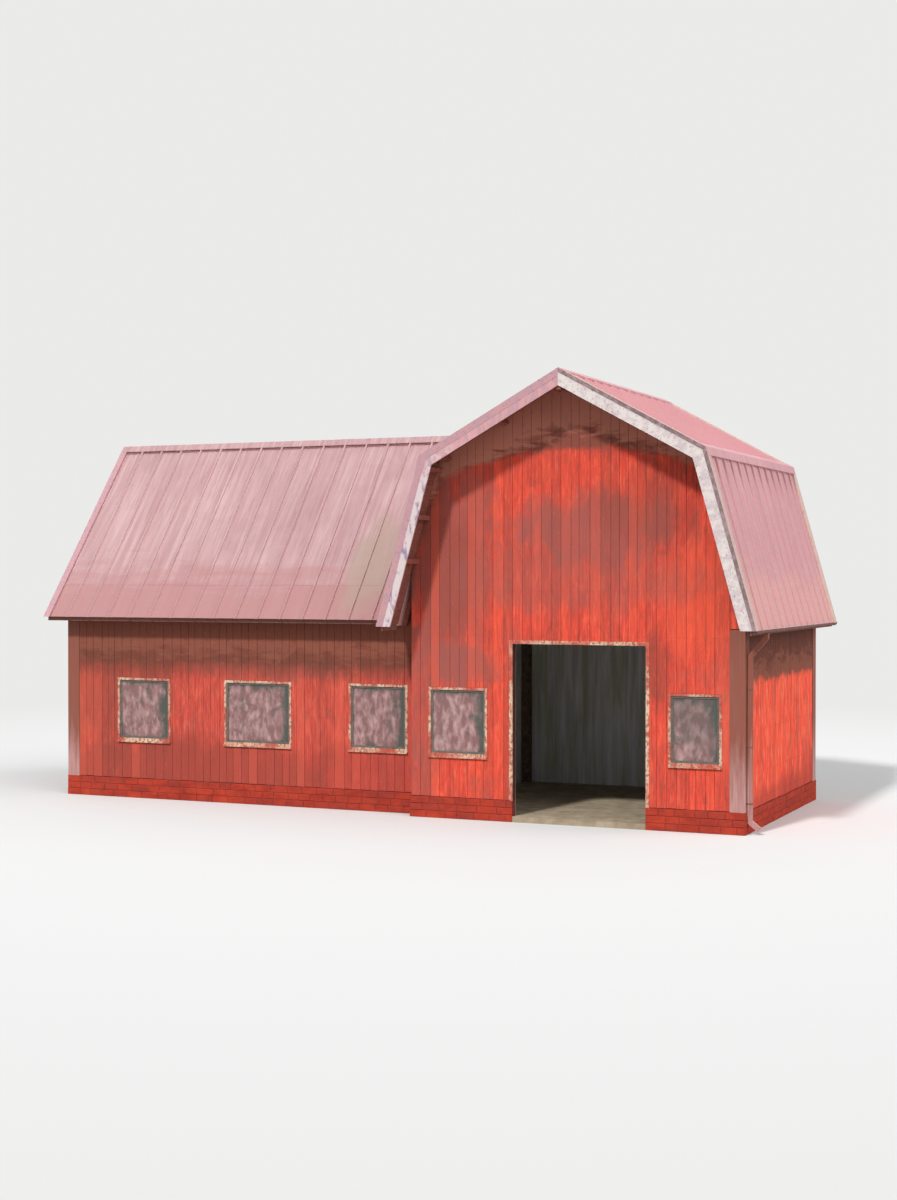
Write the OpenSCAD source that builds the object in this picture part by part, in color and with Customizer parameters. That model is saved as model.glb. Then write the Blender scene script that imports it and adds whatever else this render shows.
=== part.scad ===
// Red barn: a gambrel-roofed main block with a long lower wing on its left.
// The main ridge runs along Y and its gable faces -Y. The wing's ridge runs along X.
// Sizes are in millimetres. The origin is under the middle of the whole outline, on the ground.

/* [Main block] */
// Width of the main block over its side walls
main_w = 7300; // [6900:50:7900]
// Depth of the main block over its front and back walls
main_depth = 6400; // [6000:50:7200]
// Thickness of every outer wall
wall_t = 160; // [120:5:200]
// Height of the main roof's lower edges
main_eave_z = 4100; // [3950:10:4250]
// How far the knees of the main roof lie inside the side walls
knee_in = 600; // [520:10:700]
// Height of the knees
knee_z = 7680; // [7500:10:7900]
// Height of the main ridge
main_ridge_z = 9350; // [9100:10:9600]
// How far the main eaves stand out from the side walls
main_eave_out = 410; // [340:5:460]
// How far the main roof runs past the front gable wall
front_overhang = 800; // [500:10:950]
// How far the main roof runs past the back gable wall
back_overhang = 250; // [150:10:450]

/* [Wing] */
// Length of the wing from the main block's side wall to its end wall
wing_len = 9150; // [8900:50:10000]
// How far the wing's long walls lie inside the main block's gable walls
wing_setback = 400; // [300:10:500]
// Height of the wing roof's lower edges
wing_eave_z = 4220; // [4160:10:4300]
// Height of the wing's ridge
wing_ridge_z = 8350; // [8100:10:8500]
// How far the wing's eaves stand out from its long walls
wing_eave_out = 500; // [420:5:560]
// How far the wing's roof runs past its end wall
wing_end_out = 300; // [150:10:450]

/* [Roof covering] */
// Thickness of the roof deck with its metal
deck_t = 60; // [40:2:80]
// Distance between standing seams, fitted to the roof's length
seam_pitch = 560; // [450:10:800]
// Width of a standing seam
seam_w = 45; // [30:1:60]
// Height of a standing seam
seam_h = 40; // [25:1:55]
// Reach of a ridge or knee cap down each slope
cap_reach = 170; // [120:5:240]
// Thickness of the cap metal
cap_t = 12; // [6:1:20]
// Reach of the valley flashing on each roof
flashing_reach = 190; // [140:5:240]
// Thickness of the valley flashing
flashing_t = 10; // [5:1:16]

/* [Doorway and passage] */
// Width of the doorway
door_w = 2920; // [2600:10:3000]
// Height of the doorway's head over the ground
door_head_z = 3750; // [3500:10:3950]
// How far the doorway lies right of the gable's middle
door_shift = 150; // [80:5:200]
// Width of the passage from the main block into the wing
passage_w = 1600; // [1200:10:1700]
// Height of the passage's head over the ground
passage_head_z = 2500; // [2200:10:2900]

/* [Windows] */
// Height of a window opening
window_h = 1460; // [1300:10:1550]
// Height of the window openings' lower edges over the ground
sill_z = 1340; // [1200:10:1450]
// Width of the window left of the doorway
left_window_w = 1360; // [1200:10:1400]
// Distance of that window's middle from the gable's middle
left_window_x = 2570; // [2540:5:2590]
// Width of the window right of the doorway
right_window_w = 1120; // [900:10:1180]
// Distance of that window's middle from the gable's middle
right_window_x = 2640; // [2560:5:2720]
// Width of the wing's outer windows
wing_window_w = 1440; // [1200:10:1500]
// Width of the wing's middle window
middle_window_w = 1740; // [1500:10:1900]
// Distance between the middles of the wing's windows
window_spacing = 3030; // [2800:10:3150]
// Distance of the first wing window's middle from the main block
first_window_x = 1000; // [900:5:1100]
// Width of a window frame's members
frame_w = 55; // [40:1:70]
// Depth of a window frame
frame_t = 90; // [70:1:110]
// How far a window frame stands out from the wall
frame_out = 20; // [10:1:30]
// Thickness of the glass
glass_t = 8; // [5:1:12]
// Thickness of a window sill
sill_t = 45; // [35:1:60]
// How far a sill stands out from the wall
sill_out = 60; // [45:1:80]
// How far a sill's top falls from the frame to its nose
sill_fall = 12; // [6:1:20]

/* [Timber frame] */
// Number of timber bents in the main block
bents = 4; // [3:1:4]
// Width of the posts
post_w = 200; // [160:5:240]
// Depth of the tie beams
tie_d = 240; // [180:5:280]
// Reach of a brace from the corner of post and tie beam
brace_reach = 850; // [650:10:1000]
// Width of a brace
brace_w = 120; // [90:5:140]
// Depth of the rafters
rafter_d = 180; // [140:5:220]
// Width of the rafters
rafter_w = 130; // [100:5:180]
// Depth of the purlins
purlin_d = 130; // [100:5:160]
// Width of the purlins
purlin_w = 100; // [80:5:130]
// Width of the ridge beams
ridge_w = 90; // [70:5:120]
// Depth of the ridge beams
ridge_d = 320; // [280:5:380]
// Number of rafter pairs in the wing
wing_trusses = 6; // [4:1:8]

/* [Outside trim] */
// Depth of the barge boards along the gable ends
barge_d = 270; // [220:5:340]
// Thickness of the barge boards
barge_t = 40; // [25:1:50]
// Thickness of the eave boards
eave_board_t = 30; // [20:1:40]
// How far the eave boards hang under the roof's lower edges
eave_drop = 90; // [60:5:130]
// Width of a corner board on each face
corner_w = 290; // [200:5:330]
// Thickness of a corner board
corner_t = 25; // [18:1:35]
// Width of the casing round the doorway
casing_w = 75; // [50:5:90]
// Thickness of the casing
casing_t = 28; // [18:1:35]
// Depth of the brackets under the main eaves
bracket_d = 110; // [80:5:130]
// Width of the brackets
bracket_w = 90; // [70:5:120]
// Outer radius of the gutter
gutter_r = 62; // [50:1:75]
// Thickness of the gutter's metal
gutter_t = 4; // [3:1:6]
// Half the width of the square downpipe
pipe_r = 48; // [38:1:55]
// Space between the downpipe and the corner board
pipe_gap = 12; // [8:1:25]

/* [Foundation] */
// Height of the plinth over the ground
plinth_h = 450; // [350:10:500]
// How far the plinth stands out from the walls
plinth_out = 30; // [15:1:45]
// Height of the floors over the ground
floor_z = 120; // [80:5:180]

/* [Hidden] */

// Colours
board_red = [0.80, 0.17, 0.12];
plinth_red = [0.55, 0.12, 0.10];
roof_pink = [0.72, 0.55, 0.58];
trim_white = [0.86, 0.82, 0.80];
trim_mauve = [0.56, 0.46, 0.50];
old_timber = [0.34, 0.26, 0.21];
floor_grey = [0.45, 0.43, 0.40];
glass_mauve = [0.50, 0.44, 0.50, 0.5];

// Places of the walls
half_w = main_w / 2;
inner_half_w = half_w - wall_t;
inner_depth = main_depth - wall_t;
mid_y = main_depth / 2;
wing_x0 = -half_w - wing_len;
wing_y0 = wing_setback;
wing_y1 = main_depth - wing_setback;
wing_half = mid_y - wing_setback;
door_x0 = door_shift - door_w / 2;
door_x1 = door_shift + door_w / 2;
passage_y0 = mid_y - passage_w / 2;
passage_y1 = mid_y + passage_w / 2;
roof_front = -front_overhang;
roof_back = main_depth + back_overhang;
wing_roof_x0 = wing_x0 - wing_end_out;

// Outline points of the roofs, on the upper face of the deck
eave_p = [half_w + main_eave_out, main_eave_z];
knee_p = [half_w - knee_in, knee_z];
ridge_p = [0, main_ridge_z];
wing_eave_p = [wing_half + wing_eave_out, wing_eave_z];
wing_ridge_p = [0, wing_ridge_z];

// Unit vector along a slope, and the one that points into the roof
function along(p, q) = (q - p) / norm(q - p);
function inward(p, q) = [p.y - q.y, q.x - p.x] / norm(q - p);
// A slope's lower end moved into the roof by d and kept at its own height
function lower_end(p, q, d) = [p.x - d * norm(q - p) / (q.y - p.y), p.y];
// A slope's upper end moved into the roof by d and kept on the ridge line
function upper_end(p, q, d) = [q.x, q.y - d * norm(q - p) / (p.x - q.x)];
// The corner between two slopes, both moved into the roof by d
function mitre(p, q, r, d) = q + d * (inward(p, q) + inward(q, r)) / (1 + inward(p, q) * inward(q, r));

// Three points of the gambrel outline at depth d, and two of the wing's outline
function eave_at(d) = lower_end(eave_p, knee_p, d);
function knee_at(d) = mitre(eave_p, knee_p, ridge_p, d);
function ridge_at(d) = upper_end(knee_p, ridge_p, d);
function wing_eave_at(d) = lower_end(wing_eave_p, wing_ridge_p, d);
function wing_ridge_at(d) = upper_end(wing_eave_p, wing_ridge_p, d);

// Slopes as rise over run, and points on them found by height or by distance from the middle
lower_rise = (knee_p.y - eave_p.y) / (eave_p.x - knee_p.x);
upper_rise = (ridge_p.y - knee_p.y) / knee_p.x;
wing_rise = (wing_ridge_p.y - wing_eave_p.y) / wing_eave_p.x;
function lower_by_z(d, z) = [eave_at(d).x - (z - main_eave_z) / lower_rise, z];
function lower_by_x(d, x) = [x, main_eave_z + (eave_at(d).x - x) * lower_rise];
function upper_by_x(d, x) = [x, ridge_at(d).y - x * upper_rise];
function wing_by_x(d, x) = [x, wing_ridge_at(d).y - x * wing_rise];
function wing_by_z(d, z) = [wing_eave_at(d).x - (z - wing_eave_z) / wing_rise, z];

// Heights of the wall tops, where the deck meets the outer faces
plate_z = lower_by_x(deck_t, half_w).y;
wing_plate_z = wing_by_x(deck_t, wing_half).y;
purlin_in = deck_t + purlin_d;
rafter_in = purlin_in + rafter_d;
eave_face_x = eave_at(deck_t).x;
bracket_in = deck_t + bracket_d;
cap_out = seam_h + cap_t;

// The whole outline, which sets the origin
outline_x0 = wing_roof_x0 - barge_t;
outline_x1 = eave_face_x + 2 * gutter_r;
outline_y0 = roof_front - barge_t;
outline_y1 = roof_back + barge_t;
to_origin = [-(outline_x0 + outline_x1) / 2, -(outline_y0 + outline_y1) / 2, 0];

// Rows of repeated pieces
bent_pitch = (inner_depth - wall_t - post_w) / (bents - 1);
bent_ys = [for (i = [0:bents - 1]) wall_t + i * bent_pitch];
truss_x0 = wing_x0 + wall_t;
truss_x1 = -eave_p.x - flashing_reach - rafter_w;
truss_xs = [for (i = [0:wing_trusses - 1]) truss_x0 + i * (truss_x1 - truss_x0) / (wing_trusses - 1)];
bracket_ys = [for (y = bent_ys) y + (post_w - bracket_w) / 2];
wing_windows = [
    [-half_w - first_window_x, wing_window_w],
    [-half_w - first_window_x - window_spacing, middle_window_w],
    [-half_w - first_window_x - 2 * window_spacing, wing_window_w]
];
gable_windows = [[-left_window_x, left_window_w], [right_window_x, right_window_w]];
// One window closes the back gable, on the side that the doorway does not look at
back_windows = [[right_window_x, right_window_w]];
// Where purlins lie along each slope, as shares of its length
lower_purlins = [0.40, 0.66, 0.94];
upper_purlins = [0.07, 0.50, 0.90];
wing_purlin_places = [0.17, 0.52, 0.90];
// Cutting bodies run this far past what they cut
past = 10;
// Facets of the gutter
$fn = 32;

module barn() { translate(to_origin) children(); }
module along_y(y0, y1) { translate([0, y1, 0]) rotate([90, 0, 0]) linear_extrude(y1 - y0) children(); }
module along_x(x0, x1) { translate([x0, 0, 0]) rotate([90, 0, 90]) linear_extrude(x1 - x0) children(); }
module box(from, to) { translate(from) cube(to - from); }

function flip(points, side) = [for (p = points) [side * p.x, p.y]];
function both_sides(points) = concat(points, [for (i = [len(points) - 1:-1:0]) [-points[i].x, points[i].y]]);
function about_mid(points) = [for (p = points) [mid_y + p.x, p.y]];
function lower_band(d0, d1) = [eave_at(d0), knee_at(d0), knee_at(d1), eave_at(d1)];
function upper_band(d0, d1) = [knee_at(d0), ridge_at(d0), ridge_at(d1), knee_at(d1)];
function gambrel_band(d0, d1) =
    [eave_at(d0), knee_at(d0), ridge_at(d0), ridge_at(d1), knee_at(d1), eave_at(d1)];
function wing_band(d0, d1) = [wing_eave_at(d0), wing_ridge_at(d0), wing_ridge_at(d1), wing_eave_at(d1)];
// The wing's two slopes as one bent band
function wing_chevron(d0, d1) = [
    wing_eave_at(d0), wing_ridge_at(d0), flip([wing_eave_at(d0)], -1)[0],
    flip([wing_eave_at(d1)], -1)[0], wing_ridge_at(d1), wing_eave_at(d1)];
// A purlin's section, square to the slope from p to q, with its middle at share t. A notch for it runs out by over
function purlin_section(p, q, t, over) =
    let (
        n = inward(p, q), u = along(p, q) * purlin_w / 2,
        top = p + t * (q - p) + (deck_t - over) * n, bottom = top + (purlin_d + over) * n)
    [top - u, top + u, bottom + u, bottom - u];

// The space that the main roof takes, out to d above its deck
module main_shell(d) {
    along_y(roof_front - past, roof_back + past)
        polygon(both_sides([eave_at(-d), knee_at(-d), ridge_at(-d)]));
}
// The space that the main block takes inside the wing's attic, where the wing's eaves are cut away
module main_core() {
    along_y(-past, main_depth + past)
        polygon(both_sides([[half_w, 0], lower_by_x(0, half_w), knee_at(0), ridge_at(0)]));
}
// The space that the wing takes from the ground out to d above its deck
module wing_shell(d) {
    eave = wing_eave_at(-d);
    along_x(wing_roof_x0 - past, past)
        polygon(about_mid(both_sides([[eave.x, 0], eave, wing_ridge_at(-d)])));
}
// The inside of the wing, up to the underside of its deck
module wing_inside() {
    along_x(wing_roof_x0, -half_w)
        polygon(about_mid(both_sides([[wing_half, 0], [wing_half, wing_plate_z], wing_ridge_at(deck_t)])));
}

// Foundation and floors
module foundation_ends() {
    color(plinth_red) barn() {
        box([-half_w - plinth_out, -plinth_out, 0], [door_x0, wall_t, plinth_h]);
        box([door_x1, -plinth_out, 0], [half_w + plinth_out, wall_t, plinth_h]);
        box([-half_w - plinth_out, inner_depth, 0], [half_w + plinth_out, main_depth + plinth_out, plinth_h]);
        box([wing_x0 - plinth_out, wing_y0 - plinth_out, 0], [truss_x0, wing_y1 + plinth_out, plinth_h]);
    }
}
module foundation_sides() {
    color(plinth_red) barn() {
        box([inner_half_w, wall_t, 0], [half_w + plinth_out, inner_depth, plinth_h]);
        box([-half_w - plinth_out, wall_t, 0], [-inner_half_w, passage_y0, plinth_h]);
        box([-half_w - plinth_out, passage_y1, 0], [-inner_half_w, inner_depth, plinth_h]);
    }
}
module wing_foundation_sides() {
    color(plinth_red) barn() {
        box([truss_x0, wing_y0 - plinth_out, 0], [-half_w - plinth_out, wing_y0 + wall_t, plinth_h]);
        box([truss_x0, wing_y1 - wall_t, 0], [-half_w - plinth_out, wing_y1 + plinth_out, plinth_h]);
    }
}
module floors() {
    color(floor_grey) barn() {
        box([-inner_half_w, wall_t, 0], [inner_half_w, inner_depth, floor_z]);
        box([truss_x0, wing_y0 + wall_t, 0], [-half_w - plinth_out, wing_y1 - wall_t, floor_z]);
    }
}
module thresholds() {
    color(floor_grey) barn() {
        box([door_x0, -plinth_out, 0], [door_x1, wall_t, floor_z]);
        box([-half_w - plinth_out, passage_y0, 0], [-inner_half_w, passage_y1, floor_z]);
    }
}

// Window holes through a wall that runs along X, and the one through the wing's end wall
module window_holes(windows, y0, y1) {
    for (w = windows)
        box([w[0] - w[1] / 2, y0 - past, sill_z], [w[0] + w[1] / 2, y1 + past, sill_z + window_h]);
}
module end_window_hole() {
    box([wing_x0 - past, mid_y - wing_window_w / 2, sill_z],
        [truss_x0 + past, mid_y + wing_window_w / 2, sill_z + window_h]);
}
// A gable wall from height z0 up to the underside of the deck
module main_gable(y0, y1, z0) {
    along_y(y0, y1)
        polygon(both_sides([[half_w, z0], [half_w, plate_z], knee_at(deck_t), ridge_at(deck_t)]));
}

// Walls of the main block
module front_wall_left() {
    color(board_red) barn() difference() {
        box([-half_w, 0, plinth_h], [door_x0, wall_t, door_head_z]);
        window_holes(gable_windows, 0, wall_t);
    }
}
module front_wall_right() {
    color(board_red) barn() difference() {
        box([door_x1, 0, plinth_h], [half_w, wall_t, door_head_z]);
        window_holes(gable_windows, 0, wall_t);
    }
}
module front_wall_gable() {
    color(board_red) barn() difference() {
        main_gable(0, wall_t, door_head_z);
        main_purlin_rows(past);
    }
}
module back_wall() {
    color(board_red) barn() difference() {
        main_gable(inner_depth, main_depth, plinth_h);
        main_purlin_rows(past);
        window_holes(back_windows, inner_depth, main_depth);
    }
}
module right_wall() {
    color(board_red) barn() box([inner_half_w, wall_t, plinth_h], [half_w, inner_depth, plate_z]);
}
module left_wall_front() {
    color(board_red) barn() box([-half_w, wall_t, plinth_h], [-inner_half_w, passage_y0, passage_head_z]);
}
module left_wall_back() {
    color(board_red) barn() box([-half_w, passage_y1, plinth_h], [-inner_half_w, inner_depth, passage_head_z]);
}
module left_wall_over() {
    color(board_red) barn() box([-half_w, wall_t, passage_head_z], [-inner_half_w, inner_depth, plate_z]);
}

// Walls of the wing
module wing_long_wall(y0) {
    color(board_red) barn() difference() {
        box([truss_x0, y0, plinth_h], [-half_w, y0 + wall_t, wing_plate_z]);
        window_holes(wing_windows, y0, y0 + wall_t);
    }
}
module wing_front_wall() { wing_long_wall(wing_y0); }
module wing_back_wall() { wing_long_wall(wing_y1 - wall_t); }
module wing_end_wall() {
    color(board_red) barn() difference() {
        along_x(wing_x0, truss_x0) polygon(about_mid(both_sides(
            [[wing_half, plinth_h], [wing_half, wing_plate_z], wing_ridge_at(deck_t)])));
        wing_purlin_rows(past);
        end_window_hole();
    }
}

// Roof covering: a deck with standing seams that run down the slope
function seam_places(from, to) =
    let (n = round((to - from - seam_w) / seam_pitch)) [for (i = [0:n]) from + i * (to - from - seam_w) / n];
main_seam_ys = seam_places(roof_front, roof_back);
// Height over which the valley leaves a seam at y on the main roof's left side free, and one at x on the wing's roof
function main_seam_z(y) =
    let (from_mid = max(0, y - mid_y, mid_y - y - seam_w))
    from_mid > wing_eave_at(-flashing_reach).x ? main_eave_z : wing_by_x(-flashing_reach, from_mid).y;
function wing_seam_z(x) =
    let (from_mid = -x - seam_w)
    min(lower_by_x(-flashing_reach, from_mid).y, upper_by_x(-flashing_reach, from_mid).y);
// A seam that would lie wholly under a cap is left out
left_lower_seam_ys = [for (y = main_seam_ys) if (main_seam_z(y) < knee_z - cap_reach) y];
wing_seam_xs = [for (x = seam_places(wing_roof_x0, 0)) if (wing_seam_z(x) < wing_ridge_z - cap_reach) x];

// A seam's section over a slope from p to q, with a root that reaches into the middle of the deck
function rooted(outer_p, outer_q, q, p) =
    let (n = inward(p, q) * deck_t / 2, u = along(p, q) * deck_t) [outer_p, outer_q, q, q + n - u, p + n + u, p];
lower_seam = rooted(eave_at(-seam_h), knee_at(-seam_h), knee_p, eave_p);
upper_seam = rooted(knee_at(-seam_h), ridge_at(-seam_h), ridge_p, knee_p);
wing_seam = rooted(wing_eave_at(-seam_h), wing_ridge_at(-seam_h), wing_ridge_p, wing_eave_p);

module main_seams(section, ys) { for (y = ys) along_y(y, y + seam_w) polygon(section); }
module roof_right(deck, seam) {
    color(roof_pink) barn() {
        along_y(roof_front, roof_back) polygon(deck);
        main_seams(seam, main_seam_ys);
    }
}
module roof_left(deck, seam, ys) {
    color(roof_pink) barn() {
        difference() {
            along_y(roof_front, roof_back) polygon(flip(deck, -1));
            wing_inside();
        }
        difference() {
            main_seams(flip(seam, -1), ys);
            wing_shell(flashing_reach);
        }
    }
}
module roof_right_lower() { roof_right(lower_band(0, deck_t), lower_seam); }
module roof_right_upper() { roof_right(upper_band(0, deck_t), upper_seam); }
module roof_left_lower() { roof_left(lower_band(0, deck_t), lower_seam, left_lower_seam_ys); }
module roof_left_upper() { roof_left(upper_band(0, deck_t), upper_seam, main_seam_ys); }
module wing_slope(side) {
    color(roof_pink) barn() {
        difference() {
            along_x(wing_roof_x0, 0) polygon(about_mid(flip(wing_band(0, deck_t), side)));
            main_shell(0);
        }
        difference() {
            for (x = wing_seam_xs) along_x(x, x + seam_w) polygon(about_mid(flip(wing_seam, side)));
            main_shell(flashing_reach);
        }
    }
}
module wing_roof_front() { wing_slope(-1); }
module wing_roof_back() { wing_slope(1); }

// Bent metal caps lie on the seams over the ridge and both knees
function knee_cap(d0, d1) =
    let (u = along(eave_p, knee_p) * cap_reach, v = along(knee_p, ridge_p) * cap_reach)
    [knee_at(d0) - u, knee_at(d0), knee_at(d0) + v, knee_at(d1) + v, knee_at(d1), knee_at(d1) - u];
function ridge_cap(top, bottom, drop) =
    [top, top + drop, bottom + drop, bottom, [-bottom.x - drop.x, bottom.y + drop.y], [-top.x - drop.x, top.y + drop.y]];
module main_roof_caps() {
    color(roof_pink) barn() {
        along_y(roof_front, roof_back) polygon(
            ridge_cap(ridge_at(-cap_out), ridge_at(-seam_h), -along(knee_p, ridge_p) * cap_reach));
        along_y(roof_front, roof_back) polygon(knee_cap(-cap_out, -seam_h));
        difference() {
            along_y(roof_front, roof_back) polygon(flip(knee_cap(-cap_out, -seam_h), -1));
            wing_shell(flashing_reach);
        }
    }
}
module wing_ridge_cap() {
    color(roof_pink) barn() difference() {
        along_x(wing_roof_x0, 0) polygon(about_mid(ridge_cap(
            wing_ridge_at(-cap_out), wing_ridge_at(-seam_h), -along(wing_eave_p, wing_ridge_p) * cap_reach)));
        main_shell(flashing_t);
    }
}
// Flashing in the valley: one leg lies on the main roof and one on the wing's
module valley_leg(main_out, wing_out) {
    intersection() {
        along_y(roof_front, roof_back) polygon(flip(gambrel_band(-main_out, 0), -1));
        along_x(wing_roof_x0, 0) polygon(about_mid(wing_chevron(-wing_out, 0)));
    }
}
module valley_flashing() {
    color(roof_pink) barn() {
        valley_leg(flashing_t, flashing_reach);
        valley_leg(flashing_reach, flashing_t);
    }
}

// Timber frame: bents of posts, braces, ties and rafters, with purlins over them, and the wing's trusses
module posts() {
    color(old_timber) barn() for (y = bent_ys, side = [-1, 1])
        translate([side * (inner_half_w - post_w / 2) - post_w / 2, y, floor_z])
            cube([post_w, post_w, plate_z - tie_d - floor_z]);
}
module tie_beams() {
    collar_z1 = knee_at(rafter_in).y;
    collar_z0 = collar_z1 - rafter_d;
    color(old_timber) barn() for (y = bent_ys) {
        box([-inner_half_w, y, plate_z - tie_d], [inner_half_w, y + post_w, plate_z]);
        along_y(y, y + rafter_w)
            polygon(both_sides([lower_by_z(rafter_in, collar_z0), lower_by_z(rafter_in, collar_z1)]));
    }
    color(old_timber) barn() for (x = truss_xs)
        box([x, wing_y0 + wall_t, wing_plate_z - tie_d], [x + rafter_w, wing_y1 - wall_t, wing_plate_z]);
}
module braces() {
    post_x = inner_half_w - post_w;
    under_tie = plate_z - tie_d;
    cut = brace_w * sqrt(2);
    color(old_timber) barn() for (y = bent_ys, side = [-1, 1])
        along_y(y, y + brace_w) polygon(flip([
            [post_x, under_tie - brace_reach], [post_x - brace_reach, under_tie],
            [post_x - brace_reach + cut, under_tie], [post_x, under_tie - brace_reach + cut]], side));
}
module lower_rafters() {
    color(old_timber) barn() for (y = bent_ys, side = [-1, 1])
        along_y(y, y + rafter_w) polygon(flip([
            lower_by_z(purlin_in, plate_z), knee_at(purlin_in),
            knee_at(rafter_in), lower_by_z(rafter_in, plate_z)], side));
}
module upper_rafters() {
    color(old_timber) barn() for (y = bent_ys, side = [-1, 1])
        along_y(y, y + rafter_w) polygon(flip([
            knee_at(purlin_in), upper_by_x(purlin_in, ridge_w / 2),
            upper_by_x(rafter_in, ridge_w / 2), knee_at(rafter_in)], side));
}
function ridge_beam(top, rise, over) =
    let (shoulder = top - [0, rise * ridge_w / 2 - over])
    both_sides([[ridge_w / 2, top.y - ridge_d], [ridge_w / 2, shoulder.y], top + [0, over]]);
module main_purlin_rows(over) {
    along_y(roof_front, roof_back) {
        for (side = [-1, 1]) {
            for (t = lower_purlins) polygon(flip(purlin_section(eave_p, knee_p, t, over), side));
            for (t = upper_purlins) polygon(flip(purlin_section(knee_p, ridge_p, t, over), side));
        }
        polygon(ridge_beam(ridge_at(deck_t), upper_rise, over));
    }
}
module main_purlins() { color(old_timber) barn() main_purlin_rows(0); }

module wing_rafters() {
    foot = [for (d = [purlin_in, rafter_in]) wing_by_z(d, wing_plate_z)];
    color(old_timber) barn() for (x = truss_xs, side = [-1, 1])
        along_x(x, x + rafter_w) polygon(about_mid(flip([
            foot[0], wing_by_x(purlin_in, ridge_w / 2), wing_by_x(rafter_in, ridge_w / 2), foot[1]], side)));
}
module wing_purlin_rows(over) {
    along_x(wing_roof_x0, 0) {
        for (side = [-1, 1], t = wing_purlin_places)
            polygon(about_mid(flip(purlin_section(wing_eave_p, wing_ridge_p, t, over), side)));
        polygon(about_mid(ridge_beam(wing_ridge_at(deck_t), wing_rise, over)));
    }
}
module wing_purlins() {
    color(old_timber) barn() difference() {
        wing_purlin_rows(0);
        main_core();
    }
}

// Boards along the roof's edges
module barge_boards(side) {
    color(trim_white) barn() for (y = [outline_y0, roof_back])
        along_y(y, y + barge_t) polygon(flip(gambrel_band(-seam_h, barge_d), side));
}
module barge_boards_left() { barge_boards(-1); }
module barge_boards_right() { barge_boards(1); }
module wing_barge_boards() {
    color(trim_white) barn() along_x(outline_x0, wing_roof_x0) polygon(about_mid(wing_chevron(-seam_h, barge_d)));
}
// An eave board's section hangs under the deck, with its outer face under the deck's lower corner
function eave_board_section(face_x, z, rise) = [
    [face_x, z - eave_drop], [face_x, z],
    [face_x - eave_board_t, z + eave_board_t * rise], [face_x - eave_board_t, z - eave_drop]];
module eave_boards() {
    main_board = eave_board_section(eave_face_x, main_eave_z, lower_rise);
    wing_board = eave_board_section(wing_eave_at(deck_t).x, wing_eave_z, wing_rise);
    color(trim_mauve) barn() {
        along_y(roof_front, roof_back) polygon(main_board);
        difference() {
            along_y(roof_front, roof_back) polygon(flip(main_board, -1));
            wing_shell(0);
        }
        for (side = [-1, 1]) difference() {
            along_x(wing_roof_x0, -half_w) polygon(about_mid(flip(wing_board, side)));
            main_shell(0);
        }
    }
}
// Brackets under the main eaves run from the wall's top down to the eave board
module eave_brackets() {
    board_x = eave_face_x - eave_board_t;
    section = [
        lower_by_x(deck_t, board_x), [half_w, plate_z],
        lower_by_x(bracket_in, half_w), lower_by_z(bracket_in, main_eave_z), [board_x, main_eave_z]];
    color(board_red) barn() {
        for (y = bracket_ys) along_y(y, y + bracket_w) polygon(section);
        for (y = [bracket_ys[0], bracket_ys[bents - 1]]) along_y(y, y + bracket_w) polygon(flip(section, -1));
    }
}
// A corner board folds round an outer corner; sx and sy point out of the building
module corner_board(x, y, sx, sy, top) {
    translate([x, y, plinth_h]) linear_extrude(top - plinth_h) scale([sx, sy]) polygon([
        [corner_t, corner_t], [corner_t, -corner_w], [0, -corner_w],
        [0, 0], [-corner_w, 0], [-corner_w, corner_t]]);
}
module corner_boards() {
    color(trim_mauve) barn() {
        corner_board(half_w, 0, 1, -1, main_eave_z);
        corner_board(half_w, main_depth, 1, 1, main_eave_z);
        corner_board(wing_x0, wing_y0, -1, -1, wing_eave_z);
        corner_board(wing_x0, wing_y1, -1, 1, wing_eave_z);
    }
}
module door_frame() {
    color(trim_white) barn() along_y(-casing_t, 0) difference() {
        translate([door_x0 - casing_w, plinth_h]) square([door_w + 2 * casing_w, door_head_z + casing_w - plinth_h]);
        translate([door_x0, plinth_h - past]) square([door_w, door_head_z - plinth_h + past]);
    }
}

// Windows: each has a frame set into the wall, a sloping sill under it and a sheet of glass in its middle
module frame_ring(w) {
    difference() {
        square([w, window_h], center = true);
        square([w - 2 * frame_w, window_h - 2 * frame_w], center = true);
    }
}
module pane(w) { square([w - 2 * frame_w, window_h - 2 * frame_w], center = true); }
module windows_along_x(windows, y0, depth, framed) {
    for (w = windows) translate([w[0], 0, sill_z + window_h / 2]) along_y(y0, y0 + depth)
        if (framed) frame_ring(w[1]);
        else pane(w[1]);
}
module end_window(x0, depth, framed) {
    translate([0, mid_y, sill_z + window_h / 2]) along_x(x0, x0 + depth)
        if (framed) frame_ring(wing_window_w);
        else pane(wing_window_w);
}
// A sill's section, as distance out from the wall and height, has a tongue that reaches up into the frame
sill_section = [
    [0, sill_z], [0, sill_z - sill_t], [sill_out, sill_z - sill_t],
    [sill_out, sill_z - sill_fall], [frame_out, sill_z], [frame_out / 2, sill_z + frame_w / 2]];
function sill_at(face, side) = [for (p = sill_section) [face + side * p.x, p.y]];
module sills_along_x(windows, face, side) {
    for (w = windows) along_x(w[0] - w[1] / 2, w[0] + w[1] / 2) polygon(sill_at(face, side));
}
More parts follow.
